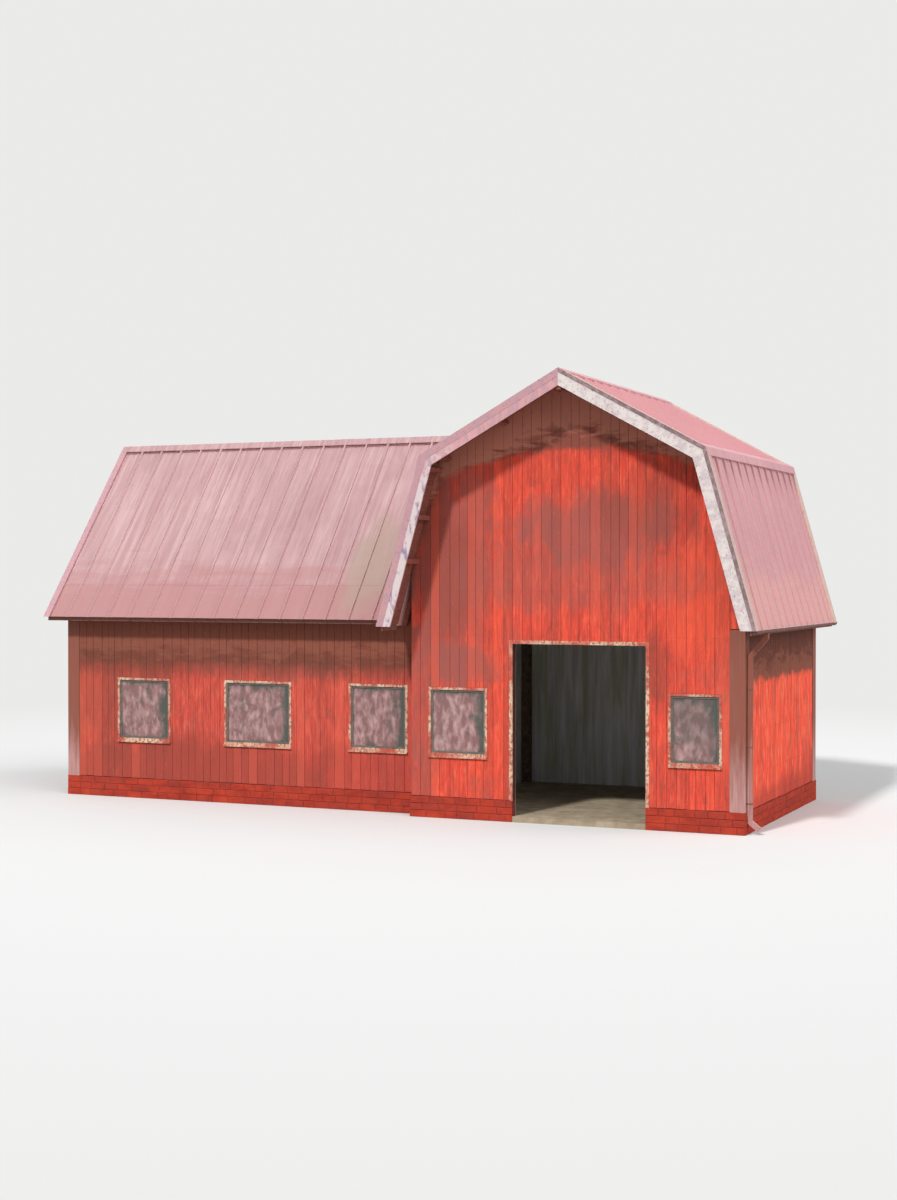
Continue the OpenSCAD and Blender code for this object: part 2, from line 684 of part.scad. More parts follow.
// The glass lies this far in from the wall's outer face
glass_in = frame_t / 2 - frame_out - glass_t / 2;
module front_window_frames() {
    color(trim_white) barn() {
        windows_along_x(gable_windows, -frame_out, frame_t, true);
        windows_along_x(wing_windows, wing_y0 - frame_out, frame_t, true);
        sills_along_x(gable_windows, 0, -1);
        sills_along_x(wing_windows, wing_y0, -1);
    }
}
module rear_window_frames() {
    color(trim_white) barn() {
        windows_along_x(back_windows, main_depth + frame_out - frame_t, frame_t, true);
        windows_along_x(wing_windows, wing_y1 + frame_out - frame_t, frame_t, true);
        sills_along_x(back_windows, main_depth, 1);
        sills_along_x(wing_windows, wing_y1, 1);
        end_window(wing_x0 - frame_out, frame_t, true);
        along_y(mid_y - wing_window_w / 2, mid_y + wing_window_w / 2) polygon(sill_at(wing_x0, -1));
    }
}
module window_glass() {
    color(glass_mauve) barn() {
        windows_along_x(gable_windows, glass_in, glass_t, false);
        windows_along_x(wing_windows, wing_y0 + glass_in, glass_t, false);
        windows_along_x(back_windows, main_depth - glass_in - glass_t, glass_t, false);
        windows_along_x(wing_windows, wing_y1 - glass_in - glass_t, glass_t, false);
        end_window(wing_x0 + glass_in, glass_t, false);
    }
}

// Rainwater: a half-round gutter on the right eave and a downpipe at the front corner
gutter_x = eave_face_x + gutter_r;
pipe_x = half_w + corner_t + pipe_gap + pipe_r;
pipe_y = corner_w / 2;
// The downpipe's bends, as heights over the ground, and how far its foot kicks out
pipe_top_z = main_eave_z - gutter_r;
swan_neck_z = 3560;
foot_bend_z = 260;
foot_z = 110;
foot_kick = 190;
module gutter() {
    color(trim_mauve) barn() along_y(roof_front, roof_back) translate([gutter_x, main_eave_z]) difference() {
        circle(r = gutter_r);
        circle(r = gutter_r - gutter_t);
        translate([-gutter_r - past, 0]) square(2 * (gutter_r + past));
    }
}
// The downpipe is square, and its bends are mitred
module downpipe() {
    path = [
        [gutter_x, pipe_top_z], [gutter_x, pipe_top_z - 2 * pipe_r], [pipe_x, swan_neck_z],
        [pipe_x, foot_bend_z], [pipe_x + foot_kick, foot_z]];
    last = len(path) - 1;
    function edge_point(i, d) =
        i == 0 ? path[0] + d * inward(path[0], path[1]) :
        i == last ? path[last] + d * inward(path[last - 1], path[last]) :
        mitre(path[i - 1], path[i], path[i + 1], d);
    color(trim_mauve) barn() along_y(pipe_y - pipe_r, pipe_y + pipe_r) polygon(concat(
        [for (i = [0:last]) edge_point(i, pipe_r)], [for (i = [last:-1:0]) edge_point(i, -pipe_r)]));
}

foundation_ends();
foundation_sides();
wing_foundation_sides();
floors();
thresholds();
front_wall_left();
front_wall_right();
front_wall_gable();
back_wall();
right_wall();
left_wall_front();
left_wall_back();
left_wall_over();
wing_front_wall();
wing_back_wall();
wing_end_wall();
roof_right_lower();
roof_right_upper();
roof_left_lower();
roof_left_upper();
wing_roof_front();
wing_roof_back();
main_roof_caps();
wing_ridge_cap();
valley_flashing();
posts();
tie_beams();
braces();
lower_rafters();
upper_rafters();
main_purlins();
wing_rafters();
wing_purlins();
barge_boards_left();
barge_boards_right();
wing_barge_boards();
eave_boards();
eave_brackets();
corner_boards();
door_frame();
front_window_frames();
rear_window_frames();
window_glass();
gutter();
downpipe();
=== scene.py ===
import math
import random

import bmesh
import bpy
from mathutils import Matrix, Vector


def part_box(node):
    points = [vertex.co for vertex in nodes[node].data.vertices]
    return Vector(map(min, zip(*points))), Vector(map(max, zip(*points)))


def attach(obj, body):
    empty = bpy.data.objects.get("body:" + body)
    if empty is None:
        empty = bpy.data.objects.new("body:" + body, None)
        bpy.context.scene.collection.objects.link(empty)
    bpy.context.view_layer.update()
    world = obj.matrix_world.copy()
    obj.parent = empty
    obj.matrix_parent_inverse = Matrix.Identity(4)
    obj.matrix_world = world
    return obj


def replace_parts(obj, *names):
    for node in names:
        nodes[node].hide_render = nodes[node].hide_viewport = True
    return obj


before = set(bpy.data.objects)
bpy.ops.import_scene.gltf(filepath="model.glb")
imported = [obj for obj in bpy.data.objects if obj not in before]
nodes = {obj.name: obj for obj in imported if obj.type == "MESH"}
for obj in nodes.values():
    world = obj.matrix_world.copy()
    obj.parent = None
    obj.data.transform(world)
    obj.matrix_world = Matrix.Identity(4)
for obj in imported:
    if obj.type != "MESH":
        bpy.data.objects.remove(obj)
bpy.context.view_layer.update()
bpy.context.scene.view_settings.view_transform = "Standard"
print("frame loaded:", len(nodes), "parts of the barn")

# where things stand on the barn, in metres
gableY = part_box("front_wall_gable")[0].y
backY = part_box("back_wall")[1].y
leftX, rightX = (corner.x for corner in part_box("back_wall"))
midX = (leftX + rightX) / 2
midY = (gableY + backY) / 2
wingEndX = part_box("wing_end_wall")[0].x
wingFrontY, wingBackY = (corner.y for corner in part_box("wing_end_wall"))
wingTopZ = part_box("wing_front_wall")[1].z
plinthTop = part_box("right_wall")[0].z
rakeFrontY, rakeBackY = (corner.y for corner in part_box("barge_boards_left"))
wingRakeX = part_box("wing_barge_boards")[0].x
boardDeep = 0.04  # a barge board's own thickness

# the roofs' outlines, as distance from the middle and height
mainRoof = {"eave": (4.06, 4.1), "knee": (3.05, 7.68), "ridge": (0.0, 9.35)}
wingRoof = {"eave": (3.3, 4.22), "ridge": (0.0, 8.35)}
deckDeep, seamHigh = 0.06, 0.04


def solidBoxes(name):
    # lowest and highest corner of each separate solid in one part
    mesh = nodes[name].data
    keys = [tuple(round(c, 4) for c in v.co) for v in mesh.vertices]
    parent = {key: key for key in keys}

    def leader(key):
        while parent[key] != key:
            key = parent[key]
        return key

    for edge in mesh.edges:
        a, b = edge.vertices
        parent[leader(keys[a])] = leader(keys[b])
    groups = {}
    for key in parent:
        groups.setdefault(leader(key), []).append(key)
    return [[Vector([end(axis) for axis in zip(*group)]) for end in (min, max)] for group in groups.values()]


def newObject(name, data):
    thing = bpy.data.objects.new(name, data)
    bpy.context.scene.collection.objects.link(thing)
    return thing


cameraSetup = {
    "right": 12.82,  # metres right of the gable's middle
    "away": 35.47,  # metres in front of the gable wall
    "height": 5.17,
    "turnLeft": 23.75,  # degrees from straight at the gable
    "tiltDown": 0.75, "lens": 54.5,
}


def makeCamera(setup):
    data = bpy.data.cameras.new("barnCamera")
    data.lens = setup["lens"]
    data.clip_end = 400
    camera = newObject("barnCamera", data)
    camera.location = (midX + setup["right"], gableY - setup["away"], setup["height"])
    camera.rotation_euler = (math.radians(90 - setup["tiltDown"]), 0, math.radians(setup["turnLeft"]))
    bpy.context.scene.camera = camera
    print("camera placed")


# small helpers for node trees
def feed(socket, value):
    # links what another node gives, or sets a number, a place or a colour
    if isinstance(value, bpy.types.NodeSocket):
        socket.id_data.links.new(value, socket)
    else:
        socket.default_value = (*value, 1) if socket.type == "RGBA" else value


def addNode(tree, kind, inputs):
    node = tree.nodes.new("ShaderNode" + kind)
    for name, value in inputs.items():
        feed(node.inputs[name], value)
    return node


def calc(operation, a, b=0.0):
    # a or b comes from another node, and that one's tree is used
    tree = (a if isinstance(a, bpy.types.NodeSocket) else b).id_data
    node = addNode(tree, "Math", {0: a, 1: b})
    node.operation = operation
    return node.outputs[0]


def plus(a, b):
    return calc("ADD", a, b)


def minus(a, b):
    return calc("SUBTRACT", a, b)


def times(a, b):
    return calc("MULTIPLY", a, b)


def spaceAt(tree, scale=(1, 1, 1), centre=None):
    # the barn's own metres, stretched by scale, or counted in reaches from a centre
    metres = addNode(tree, "TexCoord", {}).outputs["Object"]
    mapping = addNode(tree, "Mapping", {"Vector": metres, "Scale": scale, "Location": centre or (0, 0, 0)})
    mapping.vector_type = "TEXTURE" if centre else "POINT"
    return mapping.outputs["Vector"]


def placeOf(tree):
    # x, y and z on the barn
    return addNode(tree, "SeparateXYZ", {"Vector": spaceAt(tree)}).outputs[:]


def lengthOf(vector):
    node = addNode(vector.id_data, "VectorMath", {0: vector})
    node.operation = "LENGTH"
    return node.outputs["Value"]


def noiseAt(tree, scale, detail=5, rough=0.6, swirl=0.0):
    inputs = {"Vector": spaceAt(tree, scale), "Detail": detail, "Roughness": rough, "Distortion": swirl}
    return addNode(tree, "TexNoise", {**inputs, "Scale": 1}).outputs["Fac"]


def swing(noise, amount):
    # a noise that swings about zero
    return times(minus(noise, 0.5), amount)


def spread(value, low, high, outLow=0.0, outHigh=1.0):
    # stretches low..high to outLow..outHigh and holds the ends
    inputs = {"Value": value, "From Min": low, "From Max": high, "To Min": outLow, "To Max": outHigh}
    return addNode(value.id_data, "MapRange", inputs).outputs["Result"]


def blendColour(share, a, b):
    node = share.id_data.nodes.new("ShaderNodeMix")
    node.data_type = "RGBA"
    for name, value in (("Factor", share), ("A", a), ("B", b)):
        kind = "VALUE" if name == "Factor" else "RGBA"
        feed(next(s for s in node.inputs if s.name == name and s.type == kind), value)
    return next(s for s in node.outputs if s.type == "RGBA")


def glaze(colour, *layers):
    # lays tints over a colour, each from nothing at low to its share at high
    for tint, value, low, high, share in layers:
        colour = blendColour(spread(value, low, high, 0, share), colour, tint)
    return colour


def ownTone(tree):
    # the tone that each board, block or cell was given
    node = addNode(tree, "Attribute", {})
    node.attribute_name = "tone"
    return node.outputs["Fac"]


def patchAt(tree, centre, reach, ragged=0.45):
    # a soft patch with a ragged edge round one place of the barn
    torn = swing(noiseAt(tree, (2.4, 2.4, 1.1)), ragged * 4)
    return spread(plus(lengthOf(spaceAt(tree, reach, centre)), torn), 1.1, 0.6)


def startMaterial(name, rough, gloss):
    material = bpy.data.materials.new(name)
    material.use_nodes = True
    tree = material.node_tree
    shader = tree.nodes["Principled BSDF"].inputs
    feed(shader["Roughness"], rough)
    feed(shader["Specular IOR Level"], gloss)
    return material, tree


def finishMaterial(material, colour, height, strength, distance, rough=None):
    # height, strength and distance shape the bump; rough varies the roughness
    tree = material.node_tree
    shader = tree.nodes["Principled BSDF"].inputs
    bump = addNode(tree, "Bump", {"Height": height, "Strength": strength, "Distance": distance})
    feed(shader["Normal"], bump.outputs["Normal"])
    feed(shader["Base Color"], colour)
    if rough is not None:
        feed(shader["Roughness"], rough)
    return material


def glowing(tree, kind, colour, strength):
    return addNode(tree, kind, {"Color": colour, "Strength": strength}).outputs[0]


def mixShaders(share, first, second):
    return addNode(share.id_data, "MixShader", {0: share, 1: first, 2: second}).outputs[0]


def seenRays(tree):
    # rays that look at the background, straight, off metal or through glass
    path = addNode(tree, "LightPath", {})
    first = calc("MAXIMUM", path.outputs["Is Camera Ray"], path.outputs["Is Glossy Ray"])
    return calc("MAXIMUM", first, path.outputs["Is Transmission Ray"])


lightSetup = {
    # strength, degrees right of the gable's own direction, height and softness in degrees
    "lamps": {"keyLamp": (2.6, -10, 44, 6), "broadLamp": (2.05, 78, 32, 75)}, "lampAway": 30,
    "skyColour": (0.92, 0.96, 1.0), "skyStrength": 0.44, "paleColour": (0.9, 0.9, 0.885),
    "paleStrength": 0.92,
}


def makeLight(setup):
    for name, (strength, right, height, soft) in setup["lamps"].items():
        data = bpy.data.lights.new(name, "SUN")
        data.energy = strength
        data.angle = math.radians(soft)
        lamp = newObject(name, data)
        side, rise = math.radians(right), math.radians(height)
        toLamp = Vector((math.sin(side) * math.cos(rise), -math.cos(side) * math.cos(rise), math.sin(rise)))
        lamp.rotation_euler = toLamp.to_track_quat("Z", "Y").to_euler()
        lamp.location = toLamp * setup["lampAway"]

    world = bpy.data.worlds.new("studioWorld")
    bpy.context.scene.world = world
    world.use_nodes = True
    tree = world.node_tree
    tree.nodes.clear()
    sky = glowing(tree, "Background", setup["skyColour"], setup["skyStrength"])
    pale = glowing(tree, "Background", setup["paleColour"], setup["paleStrength"])
    addNode(tree, "OutputWorld", {"Surface": mixShaders(seenRays(tree), sky, pale)})
    print("studio light on")


# small helpers for meshes
def newStock():
    return {"points": [], "faces": [], "tone": []}


def seatOn(origin, along, up, out):
    origin, along, up, out = Vector(origin), Vector(along), Vector(up), Vector(out)
    return lambda u, z, w: origin + along * u + up * z + out * w


def wallSeat(x, y, ax, ay, z=0):
    # an upright seat: u runs along (ax, ay), z up and w to the right of u, out of the wall
    return seatOn((x, y, z), (ax, ay, 0), (0, 0, 1), (ay, -ax, 0))


def insetOutline(outline, inset):
    count, moved = len(outline), []
    for i in range(count):
        (ax, ay), (bx, by), (cx, cy) = outline[i - 1], outline[i], outline[(i + 1) % count]
        first = Vector((ay - by, bx - ax)).normalized()
        second = Vector((by - cy, cx - bx)).normalized()
        step = (first + second) * (inset / max(0.3, 1 + first.dot(second)))
        moved.append((bx + step.x, by + step.y))
    return moved


def addPrism(stock, outline, seat, low, high, edge, tone=0.5):
    # outline runs anticlockwise seen from outside; the outer rim is eased by edge
    first, count = len(stock["points"]), len(outline)
    for ring, w in ((outline, low), (outline, high - edge), (insetOutline(outline, edge), high)):
        stock["points"] += [seat(u, z, w) for u, z in ring]
        stock["tone"] += [tone] * count
    for a in (first, first + count):
        for i in range(count):
            j = (i + 1) % count
            stock["faces"].append((a + i, a + j, a + count + j, a + count + i))
    stock["faces"].append(tuple(range(first + 2 * count, first + 3 * count)))
    stock["faces"].append(tuple(range(first + count - 1, first - 1, -1)))


def addBar(stock, seat, u0, u1, z0, z1, low, high, edge, tone=0.5):
    addPrism(stock, [(u0, z0), (u1, z0), (u1, z1), (u0, z1)], seat, low, high, edge, tone)


def finishPiece(stock, name, material):
    mesh = bpy.data.meshes.new(name)
    mesh.from_pydata([tuple(p) for p in stock["points"]], [], stock["faces"])
    layer = mesh.attributes.new("tone", "FLOAT", "POINT")
    layer.data.foreach_set("value", stock["tone"])
    shell = bmesh.new()
    shell.from_mesh(mesh)
    bmesh.ops.recalc_face_normals(shell, faces=shell.faces)
    shell.to_mesh(mesh)
    shell.free()
    mesh.materials.append(material)
    piece = newObject(name, mesh)
    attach(piece, "root")
    print("piece made:", name, len(mesh.polygons), "faces")
    return piece


def dress(names, material):
    for name in names:
        mesh = nodes[name].data
        mesh.materials.clear()
        mesh.materials.append(material)


# the roofs' outlines at any depth into them
def intoRoof(p, q):
    return Vector((p[1] - q[1], q[0] - p[0])).normalized()


def gambrelAt(depth):
    # eave, knee and ridge of the main roof
    e, k, r = (Vector(mainRoof[n]) for n in ("eave", "knee", "ridge"))
    n1, n2 = intoRoof(e, k), intoRoof(k, r)
    knee = k + (n1 + n2) * (depth / (1 + n1.dot(n2)))
    return [(e.x + depth * (k - e).length / (e.y - k.y), e.y), (knee.x, knee.y),
            (0.0, r.y - depth * (r - k).length / (k.x - r.x))]


def wingAt(depth):
    # eave and ridge of the wing's roof
    e, r = Vector(wingRoof["eave"]), Vector(wingRoof["ridge"])
    span = (r - e).length
    return [(e.x - depth * span / (r.y - e.y), e.y), (0.0, r.y - depth * span / (e.x - r.x))]


def bothSides(half):
    # left to right along the top of a gable
    return [(-u, z) for u, z in half] + half[-2::-1]


def bandOf(outlineAt, low, high, side):
    # the strip of a roof's end between two depths, on its left (-1) or right (1) half
    outline = [(side * u, z) for u, z in outlineAt(low) + outlineAt(high)[::-1]]
    return outline if side > 0 else outline[::-1]


def levelLine(z):
    # a straight top line, longer than any wall
    return [(-20.0, z), (20.0, z)]


def heightOn(line, u):
    for (u0, z0), (u1, z1) in zip(line, line[1:]):
        if u0 <= u <= u1:
            return z0 + (z1 - z0) * (u - u0) / (u1 - u0)
    return line[0][1] if u < line[0][0] else line[-1][1]


def slopeSeat(p, q, side, start, onWing=False):
    # seat on a slope from p up to q: u up the slope, z along the roof from start, w out of it
    def turned(across, along, z):
        return (along, across, z) if onWing else (across, along, z)

    (pu, pz), (qu, qz) = p, q
    run = Vector(turned(side * (qu - pu), 0, qz - pz)).normalized()
    outward = Vector(turned(side * (qz - pz), 0, pu - qu)).normalized()
    origin = turned((midY if onWing else midX) + side * pu, start, pz)
    return seatOn(origin, run, turned(0, 1, 0), outward), math.hypot(qu - pu, qz - pz)


# openings, read from the panes and the door casing
frameWide, casingWide, sillDeep = 0.055, 0.075, 0.045
panes = sorted(solidBoxes("window_glass"), key=lambda b: b[0].x)
sill = panes[0][0].z - frameWide
head = panes[0][1].z + frameWide
doorLow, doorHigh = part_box("door_frame")
doorway = (doorLow.x + casingWide - midX, doorHigh.x - casingWide - midX, 0.0, doorHigh.z - casingWide)


def paneHoles(low, high, faceY, zero, side=1):
    # window holes in one wall, as left, right, sill and head from the wall's own zero
    holes = []
    for a, b in panes:
        if low < a.x and b.x < high and abs(a.y - faceY) < 0.1:
            ends = sorted((side * (a.x - frameWide - zero), side * (b.x + frameWide - zero)))
            holes.append((*ends, sill - sillDeep, head))
    return holes


gableHoles = paneHoles(leftX, rightX, gableY, midX)
backHoles = paneHoles(leftX, rightX, backY, midX, -1)
wingFrontHoles = paneHoles(wingEndX, leftX, wingFrontY, leftX)
wingBackHoles = paneHoles(wingEndX, leftX, wingBackY, leftX, -1)
endLow, endHigh = min(panes, key=lambda b: b[0].x)
endHoles = [(midY - endHigh.y - frameWide, midY - endLow.y + frameWide, sill - sillDeep, head)]

cladding = {
    "widths": (0.17, 0.25),  # narrowest and widest board
    "leastRest": 0.09,  # a narrower rest of the wall joins the last board
    "gap": 0.006, "deep": (0.012, 0.017),
    "footDrop": 0.01,  # how unevenly the boards end over the plinth
    "clear": 0.004,  # air under the roofs, the eaves and over the plinth
    "sideTop": 5.25,  # just under the main roof
    "wingTopDrop": 0.03,
    "edge": 0.003, "holeGap": 0.003,
    "cornerWide": 0.29,  # width of the corner boards
    "nailRows": (0.62, 1.16, 2.02, 2.96, 3.92, 4.86, 5.82, 6.76, 7.72, 8.6),
    "nailIn": 0.03,  # from the board's edge
    "nailWander": 0.01,
    "nailClear": (0.04, 0.05, 0.02),  # from the foot, the top and a hole
    "nailSize": 0.007, "nailOut": 0.0025,
}


def clad(stock, nails, seat, start, end, foot, roofLine, holes, dice):
    c = cladding
    wander = c["nailWander"]
    overFoot, underTop, besideHole = c["nailClear"]
    u = start
    while u < end - 0.001:
        width = min(dice.uniform(*c["widths"]), end - u)
        if end - (u + width) < c["leastRest"]:
            width = end - u
        a, b = u + c["gap"] / 2, u + width - c["gap"] / 2
        low = foot + dice.uniform(0, c["footDrop"])
        high = dice.uniform(*c["deep"])
        tone = dice.random()
        kinks = [(x, z) for x, z in roofLine if a + 0.002 < x < b - 0.002]
        top = [(b, heightOn(roofLine, b))] + kinks[::-1] + [(a, heightOn(roofLine, a))]
        for outline in boardOutlines(a, b, low, top, holes):
            addPrism(stock, outline, seat, 0.0, high, c["edge"], tone)
        for z in c["nailRows"]:
            for x in (a + c["nailIn"], b - c["nailIn"]):
                onBoard = low + overFoot < z < heightOn(roofLine, x) - underTop
                if onBoard and not nearHole(x, z, holes, besideHole):
                    addNail(nails, seat, x, z + dice.uniform(-wander, wander), high)
        u += width


def nearHole(x, z, holes, away):
    return any(h[0] - away < x < h[1] + away and h[2] - away < z < h[3] + away for h in holes)


def addNail(stock, seat, u, z, face):
    size, out = cladding["nailSize"], cladding["nailOut"]
    rim = [(u + size * math.cos(a * math.pi / 3), z + size * math.sin(a * math.pi / 3)) for a in range(6)]
    addPrism(stock, rim, seat, face - 0.004, face + out, 0.0015)


def boardOutlines(a, b, low, top, holes):
    # a board is cut short over and under a hole as wide as itself, and notched for one beside it
    gap = cladding["holeGap"]
    for u0, u1, z0, z1 in holes:
        u0, u1, z0, z1 = u0 - gap, u1 + gap, z0 - gap, z1 + gap
        if b <= u0 or a >= u1:
            continue
        noSill = z0 <= low
        if a >= u0 - 0.02 and b <= u1 + 0.02:
            over = [(a, z1), (b, z1)] + top
            return [over] if noSill else [[(a, low), (b, low), (b, z0), (a, z0)], over]
        if a < u0:
            under = [(u0, low)] if noSill else [(b, low), (b, z0), (u0, z0)]
            return [[(a, low)] + under + [(u0, z1), (b, z1)] + top]
        under = [] if noSill else [(u1, z0), (a, z0)]
        return [[(u1 if noSill else a, low), (b, low)] + top + [(a, z1), (u1, z1)] + under]
    return [[(a, low), (b, low)] + top]


def makeCladding(gablePaint, sunlitSidePaint, wingPaint, nailMetal):
    dice = random.Random(11)
    clear, corner = cladding["clear"], cladding["cornerWide"]
    foot = plinthTop + clear
    underMain = bothSides(gambrelAt(deckDeep + clear))
    underWing = bothSides(wingAt(deckDeep + clear))
    mainEave, wingEave = mainRoof["eave"][1] + clear, wingRoof["eave"][1] + clear
    half = rightX - midX
    deep = (backY - gableY) / 2
    wide = (wingBackY - wingFrontY) / 2
    setback = wingFrontY - gableY
    length = leftX - wingEndX
    sideTop = levelLine(cladding["sideTop"])
    wingTop = levelLine(wingTopZ - cladding["wingTopDrop"])
    holes = gableHoles + [doorway]
    # each wall: its seat, its paint and its runs of boards as start, end, foot, top line and holes
    walls = {
        "gable_boards": (wallSeat(midX, gableY, 1, 0), gablePaint, [
            (-half, doorway[0], foot, underMain, holes),
            (doorway[0], doorway[1], foot, underMain, holes),
            (doorway[1], half - corner, foot, underMain, holes),
            (half - corner, half, mainEave, underMain, [])]),
        "back_boards": (wallSeat(midX, backY, -1, 0), gablePaint, [
            (-half + corner, half, foot, underMain, backHoles),
            (-half, -half + corner, mainEave, underMain, [])]),
        "right_boards": (wallSeat(rightX, midY, 0, 1), sunlitSidePaint, [
            (-deep + corner, deep - corner, foot, sideTop, [])]),
        "left_boards": (wallSeat(leftX, midY, 0, -1), wingPaint, [
            (-deep, -deep + setback, foot, sideTop, []),
            (deep - setback, deep, foot, sideTop, [])]),
        "wing_front_boards": (wallSeat(leftX, wingFrontY, 1, 0), wingPaint, [
            (corner - length, 0.0, foot, wingTop, wingFrontHoles)]),
        "wing_back_boards": (wallSeat(leftX, wingBackY, -1, 0), wingPaint, [
            (0.0, length - corner, foot, wingTop, wingBackHoles)]),
        "wing_end_boards": (wallSeat(wingEndX, midY, 0, -1), wingPaint, [
            (corner - wide, wide - corner, foot, underWing, endHoles),
            (-wide, corner - wide, wingEave, underWing, []),
            (wide - corner, wide, wingEave, underWing, [])]),
    }
    nails = newStock()
    for name, (seat, material, runs) in walls.items():
        stock = newStock()
        for run in runs:
            clad(stock, nails, seat, *run, dice)
        finishPiece(stock, name, material)
    finishPiece(nails, "nail_heads", nailMetal)


plinthFace = {
    "courses": 3,
    "lengths": (0.26, 0.46),  # shortest and longest block
    "leastRest": 0.12,  # a shorter rest joins the last block
    "joint": 0.01, "proud": (0.006, 0.014), "edge": 0.006,
}


def makePlinthBlocks(material):
    p = plinthFace
    dice = random.Random(5)
    low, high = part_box("foundation_ends")
    wingLow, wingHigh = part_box("wing_foundation_sides")
    out = rightX - high.x  # the plinth stands out from the wall by minus this
    mainLeft = leftX + out
    # the foot of the barn, corner by corner from the front left one; its second side is the doorway
    corners = [(mainLeft, low.y), (midX + doorway[0], low.y), (midX + doorway[1], low.y), (high.x, low.y),
               (high.x, high.y), (mainLeft, high.y), (mainLeft, wingHigh.y), (low.x, wingHigh.y),
               (low.x, wingLow.y), (mainLeft, wingLow.y)]
    sides = list(zip(corners, corners[1:] + corners[:1]))
    del sides[1]
    stock = newStock()
    rise, gap = plinthTop / p["courses"], p["joint"] / 2
    for (x, y), (nextX, nextY) in sides:
        length = abs(nextX - x) + abs(nextY - y)
        seat = wallSeat(x, y, (nextX - x) / length, (nextY - y) / length)
        for course in range(p["courses"]):
            foot, top = course * rise + (gap if course else 0), (course + 1) * rise - gap
            u = 0.0
            while u < length - 0.001:
                width = min(dice.uniform(*p["lengths"]), length - u)
                if length - (u + width) < p["leastRest"]:
                    width = length - u
                addBar(stock, seat, u + gap, u + width - gap, foot, top,
                       0.0, dice.uniform(*p["proud"]), p["edge"], dice.random())
                u += width
    finishPiece(stock, "plinth_blocks", material)


windowPanes = {
    "cells": 12, "deep": 0.008,
    "rimShadeCut": (-0.05, 0.13, 0.04, 0.12),  # how far the dust reaches over the painted reveal shade at the right, left, top and foot rim
    "sashWide": 0.042, "sashDeep": 0.018,
}


def paneSeat(low, high):
    # seat of a pane's outer face, with its middle as zero
    middle = (low + high) / 2
    if high.x - low.x < 0.05:
        return wallSeat(low.x, middle.y, 0, -1, middle.z), high.y - low.y
    if middle.y < midY:
        return wallSeat(middle.x, low.y, 1, 0, middle.z), high.x - low.x
    return wallSeat(middle.x, high.y, -1, 0, middle.z), high.x - low.x


def makePanes(glass, sashPaint):
    # each pane is a sheet of small cells, whose tone grows away from its rim and sets where the painted
    # reveal shade lies
    p = windowPanes
    sheet, sashes = newStock(), newStock()
    rows, s = p["cells"], p["sashWide"]
    pastRight, pastLeft, pastTop, pastFoot = p["rimShadeCut"]
    for low, high in panes:
        seat, wide = paneSeat(low, high)
        tall = high.z - low.z
        half, top = wide / 2, tall / 2
        for w in (0.0, -p["deep"]):
            first = len(sheet["points"])
            for i in range(rows + 1):
                for j in range(rows + 1):
                    u, z = (i / rows - 0.5) * wide, (j / rows - 0.5) * tall
                    sheet["points"].append(seat(u, z, w))
                    sheet["tone"].append(min(half - u + pastRight, half + u + pastLeft,
                                             top - z + pastTop, top + z + pastFoot))
            for i in range(rows):
                for j in range(rows):
                    a = first + i * (rows + 1) + j
                    face = (a, a + rows + 1, a + rows + 2, a + 1)
                    sheet["faces"].append(face if w == 0.0 else face[::-1])
        for u0, u1, z0, z1 in ((-half, half, top - s, top), (-half, half, -top, s - top),
                               (-half, s - half, s - top, top - s), (half - s, half, s - top, top - s)):
            addBar(sashes, seat, u0, u1, z0, z1, 0.001, p["sashDeep"], 0.002)
    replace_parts(finishPiece(sheet, "dusty_panes", glass), "window_glass")
    finishPiece(sashes, "window_sashes", sashPaint)


rakeTrim = {
    "faceDrop": (0.105, 0.035),  # how far the metal hangs on the board's face, left and right
    "lap": (0.15, 0.215),  # how far it laps back over the roof, left and right
    "deep": 0.005,
}


def addRake(face, over, outlineAt, seat, side, drop, lap):
    # metal on the face of a barge board, and its lap back over the roof
    t = rakeTrim["deep"]
    top = seamHigh + t
    addPrism(face, bandOf(outlineAt, -top, drop, side), seat, 0.0, t, 0.001)
    addPrism(over, bandOf(outlineAt, -top, -seamHigh, side), seat, -lap, 0.0, 0.001)
    addPrism(over, bandOf(outlineAt, -top, 0.0, side), seat, -lap - t, -lap, 0.001)


def makeRakeTrims(lilac, beigeHighlight, dripShadeDark):
    front = wallSeat(midX, rakeFrontY, 1, 0)
    back = seatOn((midX, rakeBackY, 0), (1, 0, 0), (0, 0, 1), (0, 1, 0))
    end = wallSeat(wingRakeX, midY, 0, -1)
    (leftDrop, rightDrop), (leftLap, rightLap) = rakeTrim["faceDrop"], rakeTrim["lap"]
    left, rightLeg, rightTop = newStock(), newStock(), newStock()
    for seat in (front, back):
        addRake(left, left, gambrelAt, seat, -1, leftDrop, leftLap)
        addRake(rightLeg, rightTop, gambrelAt, seat, 1, rightDrop, rightLap)
    for side in (-1, 1):
        addRake(left, left, wingAt, end, side, rightDrop, leftLap)
    finishPiece(left, "rake_trim_left", lilac)
    # the right drip leg is near-black, painted shade under the lap
    finishPiece(rightLeg, "rake_drip_right", dripShadeDark)
    # the right lap's beige is a painted highlight
    finishPiece(rightTop, "rake_lap_right", beigeHighlight)


closures = {
    "reach": 0.15,  # from the ridge or the knee down or up the slope
    "deep": 0.004, "endGap": 0.045,
    "valleyGap": 0.3,  # the left caps end slanting at the valley
    "wingGap": 0.2,
}


